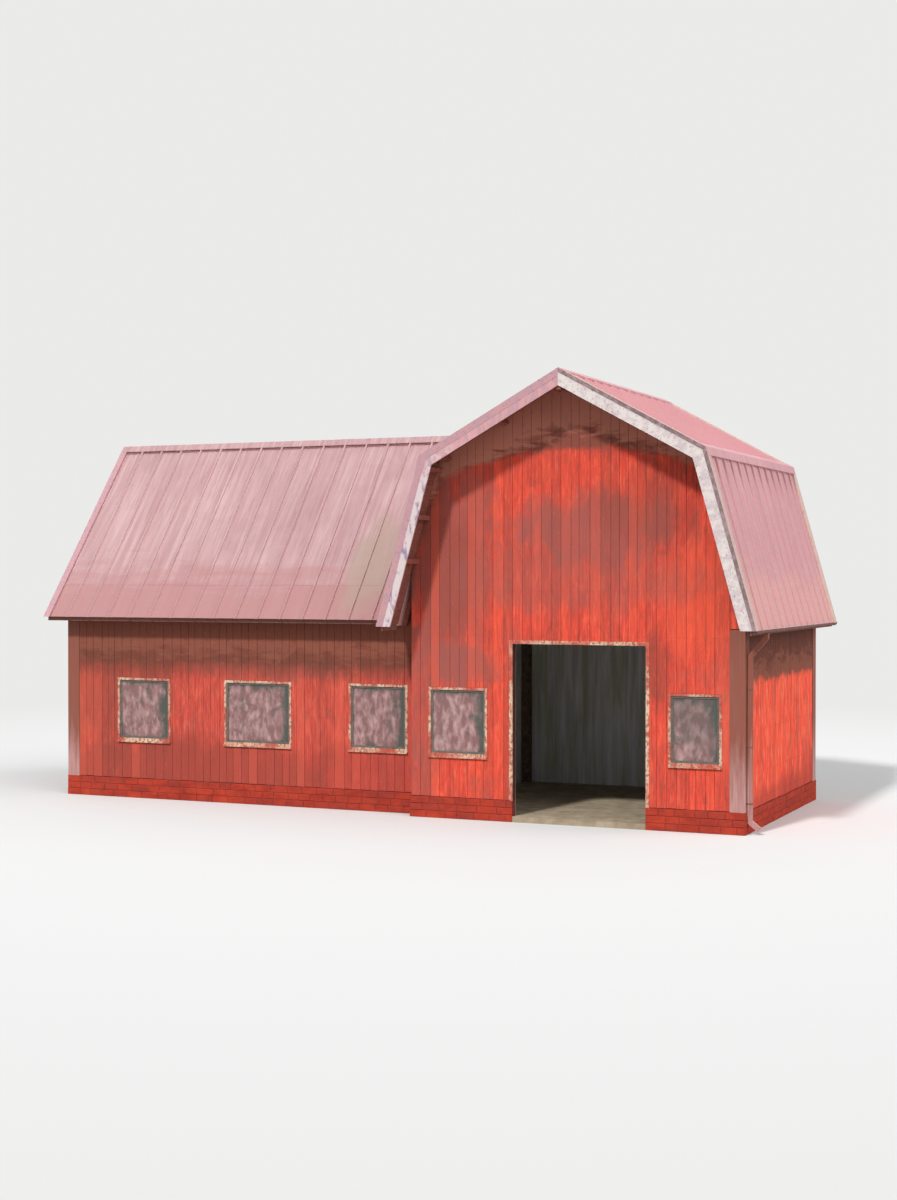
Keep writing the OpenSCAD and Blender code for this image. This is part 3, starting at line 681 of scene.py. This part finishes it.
def makeClosures(material):
    # strips that close the space between the seams under the ridge and knee caps
    reach, t, endGap = closures["reach"], closures["deep"], closures["endGap"]
    stock = newStock()

    def addStrip(seat, u, start, stop):
        addBar(stock, seat, u, u + t, start, stop, 0.0, seamHigh, 0.001)

    eave, knee, ridge = gambrelAt(0)
    for low, high in solidBoxes("main_roof_caps"):
        y0, deep = low.y, high.y - low.y
        if low.x < midX < high.x:
            for side in (-1, 1):
                seat, span = slopeSeat(knee, ridge, side, y0)
                addStrip(seat, span - reach - t, endGap, deep - endGap)
            continue
        side = 1 if low.x > midX else -1
        start = endGap if y0 < midY else closures["valleyGap"]
        stop = deep - (endGap if y0 + deep > midY else closures["valleyGap"])
        seat, span = slopeSeat(eave, knee, side, y0)
        addStrip(seat, span - reach, start, stop)
        addStrip(slopeSeat(knee, ridge, side, y0)[0], reach - t, start, stop)
    low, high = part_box("wing_ridge_cap")
    stop = high.x - low.x - closures["wingGap"]
    for side in (-1, 1):
        seat, span = slopeSeat(*wingAt(0), side, low.x, True)
        addStrip(seat, span - reach - t, endGap, stop)
    finishPiece(stock, "cap_closures", material)


soffit = {
    "boardWide": 0.165, "vary": (0.9, 1.1), "gap": 0.006, "deep": 0.01, "seated": 0.002, "fromEave": 0.04,
}


def addSheathing(stock, seat, u0, u1, z1, dice):
    # roof boards seen from below; w runs out of the roof, so they hang by a negative height
    u = u0
    while u < u1 - 0.02:
        width = min(soffit["boardWide"] * dice.uniform(*soffit["vary"]), u1 - u)
        addBar(stock, lambda a, b, w: seat(a, b, -w), u, u + width - soffit["gap"], 0.0, z1,
               -soffit["seated"], soffit["deep"], 0.002, dice.random())
        u += width


def pastWall(low, high, half):
    # how far a slope from low to high runs before it meets a wall that is half from the middle
    return (low[0] - half) * math.hypot(1, (high[1] - low[1]) / (low[0] - high[0]))


def makeSoffit(material):
    dice = random.Random(8)
    stock = newStock()
    fromEave = soffit["fromEave"]
    eave, knee, ridge = gambrelAt(deckDeep)
    ends = ((rakeFrontY + boardDeep, gableY - rakeFrontY - boardDeep), (backY, rakeBackY - backY - boardDeep))
    for side in (-1, 1):
        for p, q in ((eave, knee), (knee, ridge)):
            for y, deep in ends:
                seat, span = slopeSeat(p, q, side, y)
                addSheathing(stock, seat, fromEave if p == eave else 0.0, span, deep, dice)
    seat = slopeSeat(eave, knee, 1, gableY)[0]
    addSheathing(stock, seat, fromEave, pastWall(eave, knee, rightX - midX), backY - gableY, dice)
    wingEave, wingRidge = wingAt(deckDeep)
    reach = pastWall(wingEave, wingRidge, (wingBackY - wingFrontY) / 2)
    for side in (-1, 1):
        seat, span = slopeSeat(wingEave, wingRidge, side, wingRakeX + boardDeep, True)
        addSheathing(stock, seat, fromEave, span, wingEndX - wingRakeX - boardDeep, dice)
        seat = slopeSeat(wingEave, wingRidge, side, wingEndX, True)[0]
        addSheathing(stock, seat, fromEave, reach, midX - mainRoof["eave"][0] - wingEndX, dice)
    finishPiece(stock, "soffit_boards", material)


eaveHem = {
    "wide": 0.035, "deep": 0.005,
    "valleyGap": 0.19,  # the wing's hems stop this far before the main eave
    "lapAt": 0.95,  # the wing's sheets are lapped once, this far up the slope
    "lapWide": 0.02, "lapDeep": 0.004,
    "lapPast": 0.25,  # how much farther the lap runs than the hem
}


def makeEaveHems(material):
    # the turned edge of the sheets along the eaves
    h = eaveHem
    stock = newStock()
    eave, knee = gambrelAt(0)[:2]
    seat = slopeSeat(eave, knee, 1, rakeFrontY + boardDeep)[0]
    addBar(stock, seat, 0.0, h["wide"], 0.0, rakeBackY - rakeFrontY - 2 * boardDeep, 0.0, h["deep"], 0.002)
    valleyX = midX - mainRoof["eave"][0] - h["valleyGap"]
    lapEnd = valleyX + h["lapPast"] - wingRakeX
    for side in (-1, 1):
        seat = slopeSeat(*wingAt(0), side, wingRakeX + boardDeep, True)[0]
        addBar(stock, seat, 0.0, h["wide"], 0.0, valleyX - wingRakeX - boardDeep, 0.0, h["deep"], 0.002)
        addBar(stock, seat, h["lapAt"], h["lapAt"] + h["lapWide"], rakeTrim["lap"][0], lapEnd,
               0.0, h["lapDeep"], 0.001)
    finishPiece(stock, "eave_hems", material)


rainwater = {
    "strapEvery": 0.95, "strapWide": 0.026, "strapDeep": 0.004,
    "fromEnd": 0.08,  # first and last strap, from the gutter's ends
    "plateDeep": 0.006,  # the gutter's end plates
    "pipeStraps": (0.62, 1.75, 2.9),  # heights of the straps on the downpipe
    "pipeGap": 0.012,  # between the pipe and the corner board
    "tabWide": 0.06, "steps": 12,
}


def makeRainwaterStraps(material):
    g = rainwater
    t, wide = g["strapDeep"], g["strapWide"] / 2
    low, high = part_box("gutter")
    radius = (high.x - low.x) / 2
    stock = newStock()

    def addHalfRing(y, deep, rIn, rOut):
        angles = [math.pi + i * math.pi / g["steps"] for i in range(g["steps"] + 1)]
        outline = [(rOut * math.cos(a), rOut * math.sin(a)) for a in angles]
        outline += [(rIn * math.cos(a), rIn * math.sin(a)) for a in reversed(angles)] if rIn else []
        seat = wallSeat(low.x + radius, y, 1, 0, high.z)
        addPrism(stock, outline, seat, -deep / 2, deep / 2, 0.001)

    count = round((high.y - low.y) / g["strapEvery"])
    for i in range(count + 1):
        y = low.y + g["fromEnd"] + i * (high.y - low.y - 2 * g["fromEnd"]) / count
        addHalfRing(y, g["strapWide"], radius, radius + t)
        seat = seatOn((low.x, y, high.z), (1, 0, 0), (0, 1, 0), (0, 0, 1))
        addBar(stock, seat, -0.002, 2 * radius + t, -wide, wide, 0.0, t, 0.001)
    plate = g["plateDeep"]
    for y in (low.y + plate / 2, high.y - plate / 2):
        addHalfRing(y, plate, 0.0, radius - 0.001)

    pipeLow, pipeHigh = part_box("downpipe")
    pipeY, half = (pipeLow.y + pipeHigh.y) / 2, (pipeHigh.y - pipeLow.y) / 2
    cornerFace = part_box("corner_boards")[1].x
    outer = g["pipeGap"] + 2 * half  # the pipe's outer face, from the corner board
    for z in g["pipeStraps"]:
        seat = wallSeat(cornerFace, pipeY, 0, 1, z)
        addBar(stock, seat, -half - g["tabWide"], half + g["tabWide"], -wide, wide, 0.0, t, 0.001)
        addBar(stock, seat, -half - t, half + t, -wide, wide, outer, outer + t, 0.001)
        for u in (-half - t, half):
            addBar(stock, seat, u, u + t, -wide, wide, 0.0, outer, 0.001)
    finishPiece(stock, "rainwater_straps", material)


redPaint = {
    "bright": (0.76, 0.078, 0.043), "deep": (0.55, 0.056, 0.036), "orange": (0.87, 0.112, 0.052),
    "mauve": (0.31, 0.09, 0.074), "brown": (0.27, 0.058, 0.04), "light": (0.92, 0.18, 0.105),
    "lightShare": 0.42,
    "lightFrom": (0.56, 0.66),  # lower numbers give more light dashes
    "dustAndShade": (0.5, 0.195, 0.135),  # painted shade under the roof's edges, over unwashed dust
    "shadeEdge": (0.215, 0.068, 0.048),  # painted shade where the band begins, dark enough to read as shade where the lamps still reach
    "dustAndShadeShare": 0.92, "bare": (0.34, 0.2, 0.155), "rough": 0.8, "gloss": 0.2,
}
wingRed = {
    **redPaint, "bright": (0.64, 0.086, 0.056), "deep": (0.43, 0.056, 0.04),
    "orange": (0.74, 0.13, 0.075), "light": (0.78, 0.2, 0.14), "dustAndShade": (0.225, 0.076, 0.047),
    "shadeEdge": (0.15, 0.048, 0.031),
}
# the right wall's copy of the red is brighter, with more light dashes: painted light for the sun falling full
# on it
sunlitSideRed = {
    **redPaint, "bright": (0.95, 0.092, 0.042), "deep": (0.83, 0.068, 0.036),
    "orange": (0.97, 0.145, 0.066), "light": (0.98, 0.32, 0.18), "lightShare": 0.7,
    "lightFrom": (0.54, 0.65), "dustAndShade": (0.062, 0.026, 0.015), "shadeEdge": (0.165, 0.062, 0.036),
    "foot": (0.5, 0.058, 0.036),
}

# patches as centre, reach, share and colour, darker or lighter than the paint round them
wingPatches = [
    (((wingEndX + leftX) / 2, wingFrontY, 0.75), (7.0, 0.6, 0.8), 0.75, "deep"),
    ((wingEndX + 3.2, wingFrontY, 0.75), (4.4, 0.6, 0.75), 0.5, "brown"),
    # painted shadow of trees at the wing's far end
    ((wingEndX + 1.2, wingFrontY, 2.6), (1.8, 0.6, 1.8), 0.6, "brown"),
    ((leftX - 3.4, wingFrontY, 3.25), (2.4, 0.6, 0.4), 0.45, "mauve"),
]
# the gable's: right of its middle, height, reach across and up, share and colour
gableMarks = [
    (0.5, 6.1, 2.2, 0.85, 0.82, "mauve"),
    (1.6, 6.5, 1.2, 0.9, 0.4, "brown"),
    # these four, on the gable's left, are painted dappled shadow of trees
    (-2.7, 5.6, 1.15, 2.5, 0.8, "mauve"),
    (-2.85, 5.0, 0.85, 1.8, 0.5, "brown"),
    (-3.4, 2.3, 0.55, 2.6, 0.55, "mauve"),
    (-2.6, 3.3, 1.05, 0.6, 0.85, "mauve"),
    (1.85, 3.3, 0.28, 0.9, 0.6, "brown"),
    (2.6, 4.7, 0.8, 1.3, 0.45, "orange"),
    (-0.3, 5.05, 3.2, 0.72, 0.5, "mauve"),
    (3.35, 2.4, 0.3, 1.6, 0.3, "light"),
]
gablePatches = [((midX + x, gableY, z), (wide, 0.6, tall), *look) for x, z, wide, tall, *look in gableMarks]
sidePatches = [
    ((rightX, midY, 0.4), (0.6, 9.0, 0.45), 0.8, "foot"),
    ((rightX, backY, 0.4), (0.6, 3.6, 0.85), 0.8, "foot"),
]


def makeRedBoards(name, p, patches, shadeUnder):
    material, tree = startMaterial(name, p["rough"], p["gloss"])
    streaks = noiseAt(tree, (24, 24, 0.8))
    strokes = noiseAt(tree, (5.5, 5.5, 1.7), 5, 0.62, 0.9)
    dashes = noiseAt(tree, (26, 26, 2.6), 4, 0.6, 0.3)
    worn = noiseAt(tree, (0.9, 0.9, 0.5), 4, 0.6, 0.8)
    smears = noiseAt(tree, (1.6, 1.6, 5.5), 5, 0.65, 0.8)
    flecks = noiseAt(tree, (42, 42, 11), 3, 0.6)
    grain = noiseAt(tree, (55, 55, 1.6), 6, 0.65)
    tone = ownTone(tree)
    colour = glaze(p["deep"],
        (p["bright"], streaks, 0.36, 0.64, 1.0),
        (p["orange"], strokes, 0.52, 0.66, 0.6),
        (p["brown"], strokes, 0.46, 0.32, 0.6),
        (p["light"], dashes, *p["lightFrom"], p["lightShare"]),
        (p["brown"], dashes, 0.45, 0.36, 0.4),
        (p["mauve"], worn, 0.54, 0.7, 0.45))
    for centre, reach, share, shade in patches:
        colour = glaze(colour, (p[shade], patchAt(tree, centre, reach), 0, 1, share))
    # every board has its own tone, duller or brighter
    colour = glaze(colour, (p["brown"], tone, 0.35, 0.0, 0.3), (p["orange"], tone, 0.7, 1.0, 0.3))
    # painted shade: dark under the roof's edges, darkest where it begins
    share, depth = shadeUnder(tree)
    dustAndShade = glaze(p["shadeEdge"], (p["dustAndShade"], plus(depth, swing(smears, 1.6)), 0.25, 0.55, 1.0))
    bare = spread(flecks, 0.66, 0.71, 0, 0.6)
    colour = glaze(colour, (dustAndShade, share, 0, 1, p["dustAndShadeShare"]), (p["bare"], bare, 0, 1, 1.0))
    height = minus(plus(grain, times(strokes, 1.2)), bare)
    rough = spread(grain, 0.3, 0.7, p["rough"] - 0.12, p["rough"] + 0.12)
    return finishMaterial(material, colour, height, 0.5, 0.006, rough)


# painted shade over dust that rain never reaches: over a flat arch, beside the rakes and under the eaves
paintedShadeArch = {
    "middle": 0.1, "top": 7.8, "bend": 0.06,
    "beside": (0.12, 0.42),  # how wide beside the left and the right rake
}
paintedShadeBand = {"wing": 3.02, "wingEnd": 0.5, "side": 3.02}


def tornEdge(tree):
    return swing(noiseAt(tree, (2.2, 2.2, 2.0), 5, 0.65), 0.55)


def insideRake(off, z, low, high):
    # how far inside the roof line from low up to high, square to it
    rise = (high[1] - low[1]) / (low[0] - high[0])
    below = minus(times(minus(off, high[0]), -rise), minus(z, high[1]))
    return times(below, 1 / math.hypot(1, rise))


def shadeUnderRakes(tree):
    # share of painted shade and dust, and how deep into that part
    x, _, z = placeOf(tree)
    torn = tornEdge(tree)
    across = minus(x, midX + paintedShadeArch["middle"])
    arch = times(times(across, across), paintedShadeArch["bend"])
    over = plus(minus(plus(z, arch), paintedShadeArch["top"]), torn)
    off = calc("ABSOLUTE", minus(x, midX))
    inside = plus(insideRake(off, z, mainRoof["eave"], mainRoof["knee"]), torn)
    reach = spread(x, midX - 0.1, midX + 0.1, *paintedShadeArch["beside"])
    nearRake = spread(minus(inside, reach), 0.1, -0.05)
    share = calc("MAXIMUM", spread(over, -0.07, 0.08), nearRake)
    return share, plus(times(over, 0.85), times(off, 0.2))


def shadeUnderWingEaves(tree):
    # along the eaves on the long walls, and beside the rakes on the end wall
    x, y, z = placeOf(tree)
    torn = tornEdge(tree)
    underEave = minus(plus(z, torn), paintedShadeBand["wing"])
    off = calc("ABSOLUTE", minus(y, midY))
    inside = insideRake(off, z, wingRoof["eave"], wingRoof["ridge"])
    underRake = minus(plus(torn, paintedShadeBand["wingEnd"]), inside)
    onEnd = calc("LESS_THAN", x, wingEndX + 0.002)
    picked = plus(times(underRake, onEnd), times(underEave, minus(1.0, onEnd)))
    return spread(picked, -0.26, 0.2), picked


def shadeUnderSideEaves(tree):
    over = minus(plus(placeOf(tree)[2], tornEdge(tree)), paintedShadeBand["side"])
    return spread(over, -0.06, 0.08), over


wingRoofPink = {
    "pink": (0.43, 0.248, 0.25), "pale": (0.53, 0.345, 0.345), "mauve": (0.32, 0.174, 0.193),
    "low": (0.4, 0.19, 0.185),
    "lowAt": (5.6, 4.8),  # the low colour begins at the first height, and is full at the second
    "cream": (0.38, 0.275, 0.225), "creamAt": (leftX - 1.3, wingFrontY, 5.5),
    "creamReach": (0.75, 3.0, 1.3), "seam": (0.66, 0.46, 0.47), "rough": 0.62, "gloss": 0.25,
}
# the main roof's copy is paler: painted light that makes up for the less light falling on its slopes
mainRoofPinkShadeLifted = {
    **wingRoofPink, "pink": (0.572, 0.294, 0.306), "pale": (0.65, 0.375, 0.39),
    "mauve": (0.485, 0.24, 0.288), "low": (0.66, 0.36, 0.33), "lowAt": (5.5, 4.6),
    "seam": (0.553, 0.286, 0.296),
}


def makeRoofMetal(name, p, across):
    # across: how fast the colour changes along the eave, in x and in y
    material, tree = startMaterial(name, p["rough"], p["gloss"])
    ax, ay = across
    streaks = noiseAt(tree, (ax * 8, ay * 8, 0.25))
    strokes = noiseAt(tree, (ax * 22, ay * 22, 1.1), 4, 0.62, 0.5)
    fine = noiseAt(tree, (ax * 40, ay * 40, 1.2), 4, 0.6)
    cloud = noiseAt(tree, (0.45, 0.45, 0.6), 5, 0.6, 0.5)
    torn = swing(noiseAt(tree, (0.5, 0.5, 3.5), 4, 0.6), 2.0)
    colour = glaze(p["pink"],
        (p["pale"], streaks, 0.38, 0.64, 1.0),
        (p["mauve"], strokes, 0.5, 0.7, 0.65),
        (p["mauve"], cloud, 0.45, 0.75, 0.5),
        (p["low"], plus(placeOf(tree)[2], torn), *p["lowAt"], 0.85))
    # painted light: the upright sides of the seams get a paler colour, which lifts the shade on them
    normal = addNode(tree, "NewGeometry", {}).outputs["True Normal"]
    axes = addNode(tree, "SeparateXYZ", {"Vector": normal}).outputs
    sideways = calc("ABSOLUTE", axes["X" if ax > ay else "Y"])
    colour = glaze(colour,
        (p["cream"], patchAt(tree, p["creamAt"], p["creamReach"], 0.35), 0, 1, 0.75),
        (p["seam"], sideways, 0.6, 0.95, 0.85))
    height = plus(times(cloud, 1.5), plus(fine, strokes))
    rough = spread(streaks, 0.3, 0.7, p["rough"] - 0.12, p["rough"] + 0.12)
    return finishMaterial(material, colour, height, 0.3, 0.006, rough)


# first and second colour, the one under the flakes, and roughness; then dabs, flakes and how worn
flakedPaints = {
    "flakedWhiteRake": ((0.68, 0.61, 0.57), (0.56, 0.46, 0.47), (0.24, 0.185, 0.2), 0.7),
    "lilacRakeMetal": ((0.515, 0.275, 0.285), (0.45, 0.265, 0.3), (0.2, 0.14, 0.19), 0.55),
    # pale beige on the right rake's lap only, where the left one is lilac: a painted highlight along the
    # roof's edge
    "beigeHighlightRakeMetal": ((0.6, 0.43, 0.36), (0.58, 0.38, 0.35), (0.36, 0.2, 0.18), 0.55),
    # a near-black strip on the right rake's face: painted shade for the shadow line under the lap
    "rakeDripShadeDark": ((0.19, 0.125, 0.13), (0.34, 0.225, 0.23), (0.08, 0.06, 0.07), 0.55),
    "creamWindowPaint": ((0.64, 0.47, 0.33), (0.5, 0.105, 0.068), (0.34, 0.075, 0.05), 0.7,
                         (2.2, 2.2, 2.2), (18, 18, 11), (0.5, 0.56)),
    "greenGreySash": ((0.105, 0.11, 0.095), (0.17, 0.135, 0.125), (0.05, 0.055, 0.05), 0.6),
}


def makeFlaking(name, base, second, under, rough, dabs=(7, 7, 7), specks=(26, 26, 16), worn=(0.585, 0.64)):
    # brushed paint that has come off in small flakes
    material, tree = startMaterial(name, rough, 0.3)
    flakes = noiseAt(tree, specks, 5, 0.65)
    bare = spread(flakes, *worn)
    cloud = noiseAt(tree, dabs, 5, 0.65, 0.3)
    colour = glaze(base, (second, cloud, 0.42, 0.6, 1.0), (under, bare, 0, 1, 0.85))
    height = minus(noiseAt(tree, (40, 40, 40)), bare)
    varied = spread(flakes, 0.4, 0.7, rough - 0.1, rough + 0.12)
    return finishMaterial(material, colour, height, 0.4, 0.004, varied)


violetRake = {
    "low": (0.63, 0.53, 0.53), "high": (0.6, 0.31, 0.32),
    "turn": (7.1, 7.9),  # white below the knee, pink over it
    "torn": ((5, 5, 5), 5, 0.65, 0.5), "tornBy": 3.0, "streak": (0.43, 0.27, 0.3),
    "streaks": ((11, 11, 4.5), 4, 0.6, 0.4), "streakShare": (0.5, 0.57, 0.7),
    "marks": (0.21, 0.19, 0.33), "marksUnder": (7.7, 7.2), "rough": 0.7, "gloss": 0.3,
}
cornerPaint = {
    "low": (0.49, 0.26, 0.24), "high": (0.255, 0.082, 0.053),
    "turn": (0.7, 1.9),  # between these heights mauve goes over to brown; the brown above is painted shade from the eave
    "torn": ((7, 7, 0.9), 5, 0.6), "tornBy": 2.4, "streak": (0.27, 0.112, 0.097),
    "streaks": ((30, 30, 1.2), 5, 0.6), "streakShare": (0.45, 0.7, 0.6), "rough": 0.78, "gloss": 0.25,
}


def makeTurned(name, p):
    # one colour below a torn line and one above it, with streaks and maybe dark marks
    material, tree = startMaterial(name, p["rough"], p["gloss"])
    z = placeOf(tree)[2]
    torn = swing(noiseAt(tree, *p["torn"]), p["tornBy"])
    height = streaks = noiseAt(tree, *p["streaks"])
    colour = glaze(p["low"],
        (p["high"], plus(z, torn), *p["turn"], 1.0),
        (p["streak"], streaks, *p["streakShare"]))
    if "marks" in p:
        marks = times(spread(streaks, 0.58, 0.63), spread(z, *p["marksUnder"]))
        colour = glaze(colour, (p["marks"], marks, 0, 1, 0.8))
        height = plus(noiseAt(tree, (40, 40, 40)), streaks)
    return finishMaterial(material, colour, height, 0.4, 0.004)


# light and dark colour; then roughness, scale of the grain and swirl
grainedFinishes = {
    "oldTimber": ((0.24, 0.155, 0.11), (0.09, 0.06, 0.045)),
    "soffitTimber": ((0.38, 0.125, 0.088), (0.18, 0.06, 0.045)),
    "sweptFloor": ((0.46, 0.37, 0.26), (0.29, 0.225, 0.15), 0.95, (3, 3, 3), 0.2),
    "rustyNails": ((0.16, 0.055, 0.035), (0.07, 0.03, 0.024), 0.6, (60, 60, 60)),
    "brownEavePaint": ((0.25, 0.105, 0.078), (0.14, 0.06, 0.046), 0.7, (9, 9, 22)),
}


def makeGrained(name, light, dark, rough=0.85, grainScale=(14, 14, 14), swirl=1.2):
    material, tree = startMaterial(name, rough, 0.25)
    grain = noiseAt(tree, grainScale, 6, 0.65, swirl)
    colour = glaze(dark, (light, grain, 0.35, 0.68, 1.0), (dark, ownTone(tree), 0, 1, 0.35))
    return finishMaterial(material, colour, grain, 0.4, 0.004)


limewash = {
    "shade": (0.64, 0.65, 0.66), "light": (0.9, 0.91, 0.93), "damp": (0.46, 0.49, 0.32),
    "from": 0.155,  # indoors begins this far in from the walls' outer faces
    # the wall faces behind the boards are near-black: painted shade in the gaps between the boards
    "wallOutsideGapShade": (0.1, 0.032, 0.024), "plinthOutside": (0.22, 0.042, 0.032),
}


def indoors(tree):
    x, y, _ = placeOf(tree)

    def within(value, middle, half):
        off = calc("ABSOLUTE", minus(value, middle))
        return calc("LESS_THAN", off, half - limewash["from"])

    inMain = times(within(x, midX, rightX - midX), within(y, midY, midY - gableY))
    inWing = times(within(x, (wingEndX + leftX) / 2, (leftX - wingEndX) / 2),
                   within(y, midY, midY - wingFrontY))
    return calc("MAXIMUM", inMain, inWing)


def makeLimed(name, outside):
    # limewash indoors, the outside colour elsewhere
    material, tree = startMaterial(name, 0.9, 0.2)
    planks = noiseAt(tree, (9, 9, 0.5))
    damp = noiseAt(tree, (4, 4, 0.35), 4, 0.6, 0.3)
    lime = glaze(limewash["shade"],
        (limewash["light"], planks, 0.38, 0.62, 1.0),
        (limewash["damp"], damp, 0.5, 0.64, 0.7))
    return finishMaterial(material, blendColour(indoors(tree), outside, lime), planks, 0.5, 0.006)


plinthRed = {
    "dark": (0.32, 0.036, 0.022), "bright": (0.5, 0.055, 0.028), "dull": (0.26, 0.045, 0.036),
    "grit": (0.18, 0.05, 0.04),
}


def makePlinthPaint():
    p = plinthRed
    material, tree = startMaterial("paintedPlinth", 0.85, 0.1)
    cloud = noiseAt(tree, (2.2, 2.2, 5), 6, 0.65, 0.5)
    grit = noiseAt(tree, (60, 60, 60), 4, 0.7)
    colour = glaze(p["dark"],
        (p["bright"], cloud, 0.38, 0.66, 1.0),
        (p["dull"], ownTone(tree), 0.5, 0.0, 0.4),
        (p["grit"], grit, 0.58, 0.72, 0.5))
    return finishMaterial(material, colour, plus(grit, cloud), 0.5, 0.006)


dustyGlass = {
    "dustAndShade": (0.225, 0.115, 0.108), "bright": (0.46, 0.285, 0.28), "dark": (0.08, 0.082, 0.07),
    "rim": (0.05, 0.22),  # painted reveal shade at the rim, dusty this far in
    "darkPane": (midX + 2.64, gableY, 2.5),
}


def makeGlass():
    p = dustyGlass
    material, tree = startMaterial("dustyGlass", 0.35, 0.35)
    strokes = noiseAt(tree, (8, 8, 3.8), 3, 0.55, 0.25)
    cloud = noiseAt(tree, (3.2, 3.2, 2.4), 5, 0.6, 0.4)
    ripples = noiseAt(tree, (2.5, 2.5, 2.0), 2, 0.5)
    colour = glaze(p["dustAndShade"],
        (p["bright"], strokes, 0.42, 0.68, 1.0),
        # dark blotches over the panes are painted reflections
        (p["dark"], cloud, 0.46, 0.34, 0.6),
        (p["dark"], patchAt(tree, p["darkPane"], (0.8, 0.5, 1.0), 0.2), 0, 1, 0.45))
    # the dark rim is painted shade of the window's reveal, widest on the right and at the top
    rim = spread(plus(ownTone(tree), swing(cloud, 0.55)), *p["rim"])
    colour = blendColour(rim, p["dark"], colour)
    return finishMaterial(material, colour, ripples, 0.25, 0.01, spread(rim, 0, 1, 0.16, 0.48))


studioFloor = {"seen": (0.7, 0.7, 0.69), "unseen": (0.4, 0.39, 0.38), "fade": (13.0, 34.0), "size": 300}


def makeStudioFloor():
    # the floor looks pale, but throws little light back on the walls
    p, size = studioFloor, studioFloor["size"]
    material, tree = startMaterial("studioFloor", 0.9, 0.1)
    shader = tree.nodes["Principled BSDF"]
    feed(shader.inputs["Base Color"], blendColour(seenRays(tree), p["unseen"], p["seen"]))
    glow = glowing(tree, "Emission", lightSetup["paleColour"], lightSetup["paleStrength"])
    far = spread(lengthOf(spaceAt(tree)), *p["fade"])
    mix = mixShaders(times(far, seenRays(tree)), shader.outputs[0], glow)
    feed(tree.nodes["Material Output"].inputs["Surface"], mix)

    mesh = bpy.data.meshes.new("studio_floor")
    corners = [(-size, -size, 0), (size, -size, 0), (size, size, 0), (-size, size, 0)]
    mesh.from_pydata(corners, [], [(0, 1, 2, 3)])
    mesh.materials.append(material)
    floor = newObject("studio_floor", mesh)
    floor.location.z = -0.002


makeCamera(cameraSetup)
makeLight(lightSetup)
makeStudioFloor()

wingBoards = makeRedBoards("wingBarnRed", wingRed, wingPatches, shadeUnderWingEaves)
gableBoards = makeRedBoards("gableBarnRed", redPaint, gablePatches, shadeUnderRakes)
sunlitSideBoards = makeRedBoards("sunlitSideBarnRed", sunlitSideRed, sidePatches, shadeUnderSideEaves)
wingMetal = makeRoofMetal("chalkyPinkMetalWing", wingRoofPink, (1, 0.06))
mainMetalShadeLifted = makeRoofMetal("chalkyPinkMetalMainShadeLifted", mainRoofPinkShadeLifted, (0.06, 1))
flaked = {name: makeFlaking(name, *look) for name, look in flakedPaints.items()}
grained = {name: makeGrained(name, *look) for name, look in grainedFinishes.items()}
violetTrim = makeTurned("violetRakePaint", violetRake)
cornerTrim = makeTurned("mauveCornerPaint", cornerPaint)
wallCore = makeLimed("limewashedWall", limewash["wallOutsideGapShade"])
plinthCore = makeLimed("limewashedPlinth", limewash["plinthOutside"])
plinthPaint = makePlinthPaint()
glass = makeGlass()
print("finishes mixed")

dress([n for n in nodes if "foundation" in n], plinthCore)
dress(["floors", "thresholds"], grained["sweptFloor"])
dress([n for n in nodes if n.endswith("_wall") or "_wall_" in n], wallCore)
dress([n for n in nodes if n.startswith("roof_")] + ["main_roof_caps"], mainMetalShadeLifted)
dress(["wing_roof_front", "wing_roof_back", "wing_ridge_cap", "valley_flashing"], wingMetal)
dress(["posts", "tie_beams", "braces"] + [n for n in nodes if n.endswith("_rafters")], grained["oldTimber"])
dress(["main_purlins", "wing_purlins", "eave_brackets"], grained["soffitTimber"])
dress(["barge_boards_right", "wing_barge_boards"], flaked["flakedWhiteRake"])
dress(["barge_boards_left"], violetTrim)
dress(["corner_boards", "downpipe"], cornerTrim)
dress(["eave_boards", "gutter"], grained["brownEavePaint"])
dress(["door_frame", "front_window_frames", "rear_window_frames"], flaked["creamWindowPaint"])
print("barn dressed")

makeCladding(gableBoards, sunlitSideBoards, wingBoards, grained["rustyNails"])
makePlinthBlocks(plinthPaint)
makePanes(glass, flaked["greenGreySash"])
makeRakeTrims(flaked["lilacRakeMetal"], flaked["beigeHighlightRakeMetal"], flaked["rakeDripShadeDark"])
makeClosures(mainMetalShadeLifted)
makeEaveHems(wingMetal)
makeSoffit(grained["soffitTimber"])
makeRainwaterStraps(grained["brownEavePaint"])
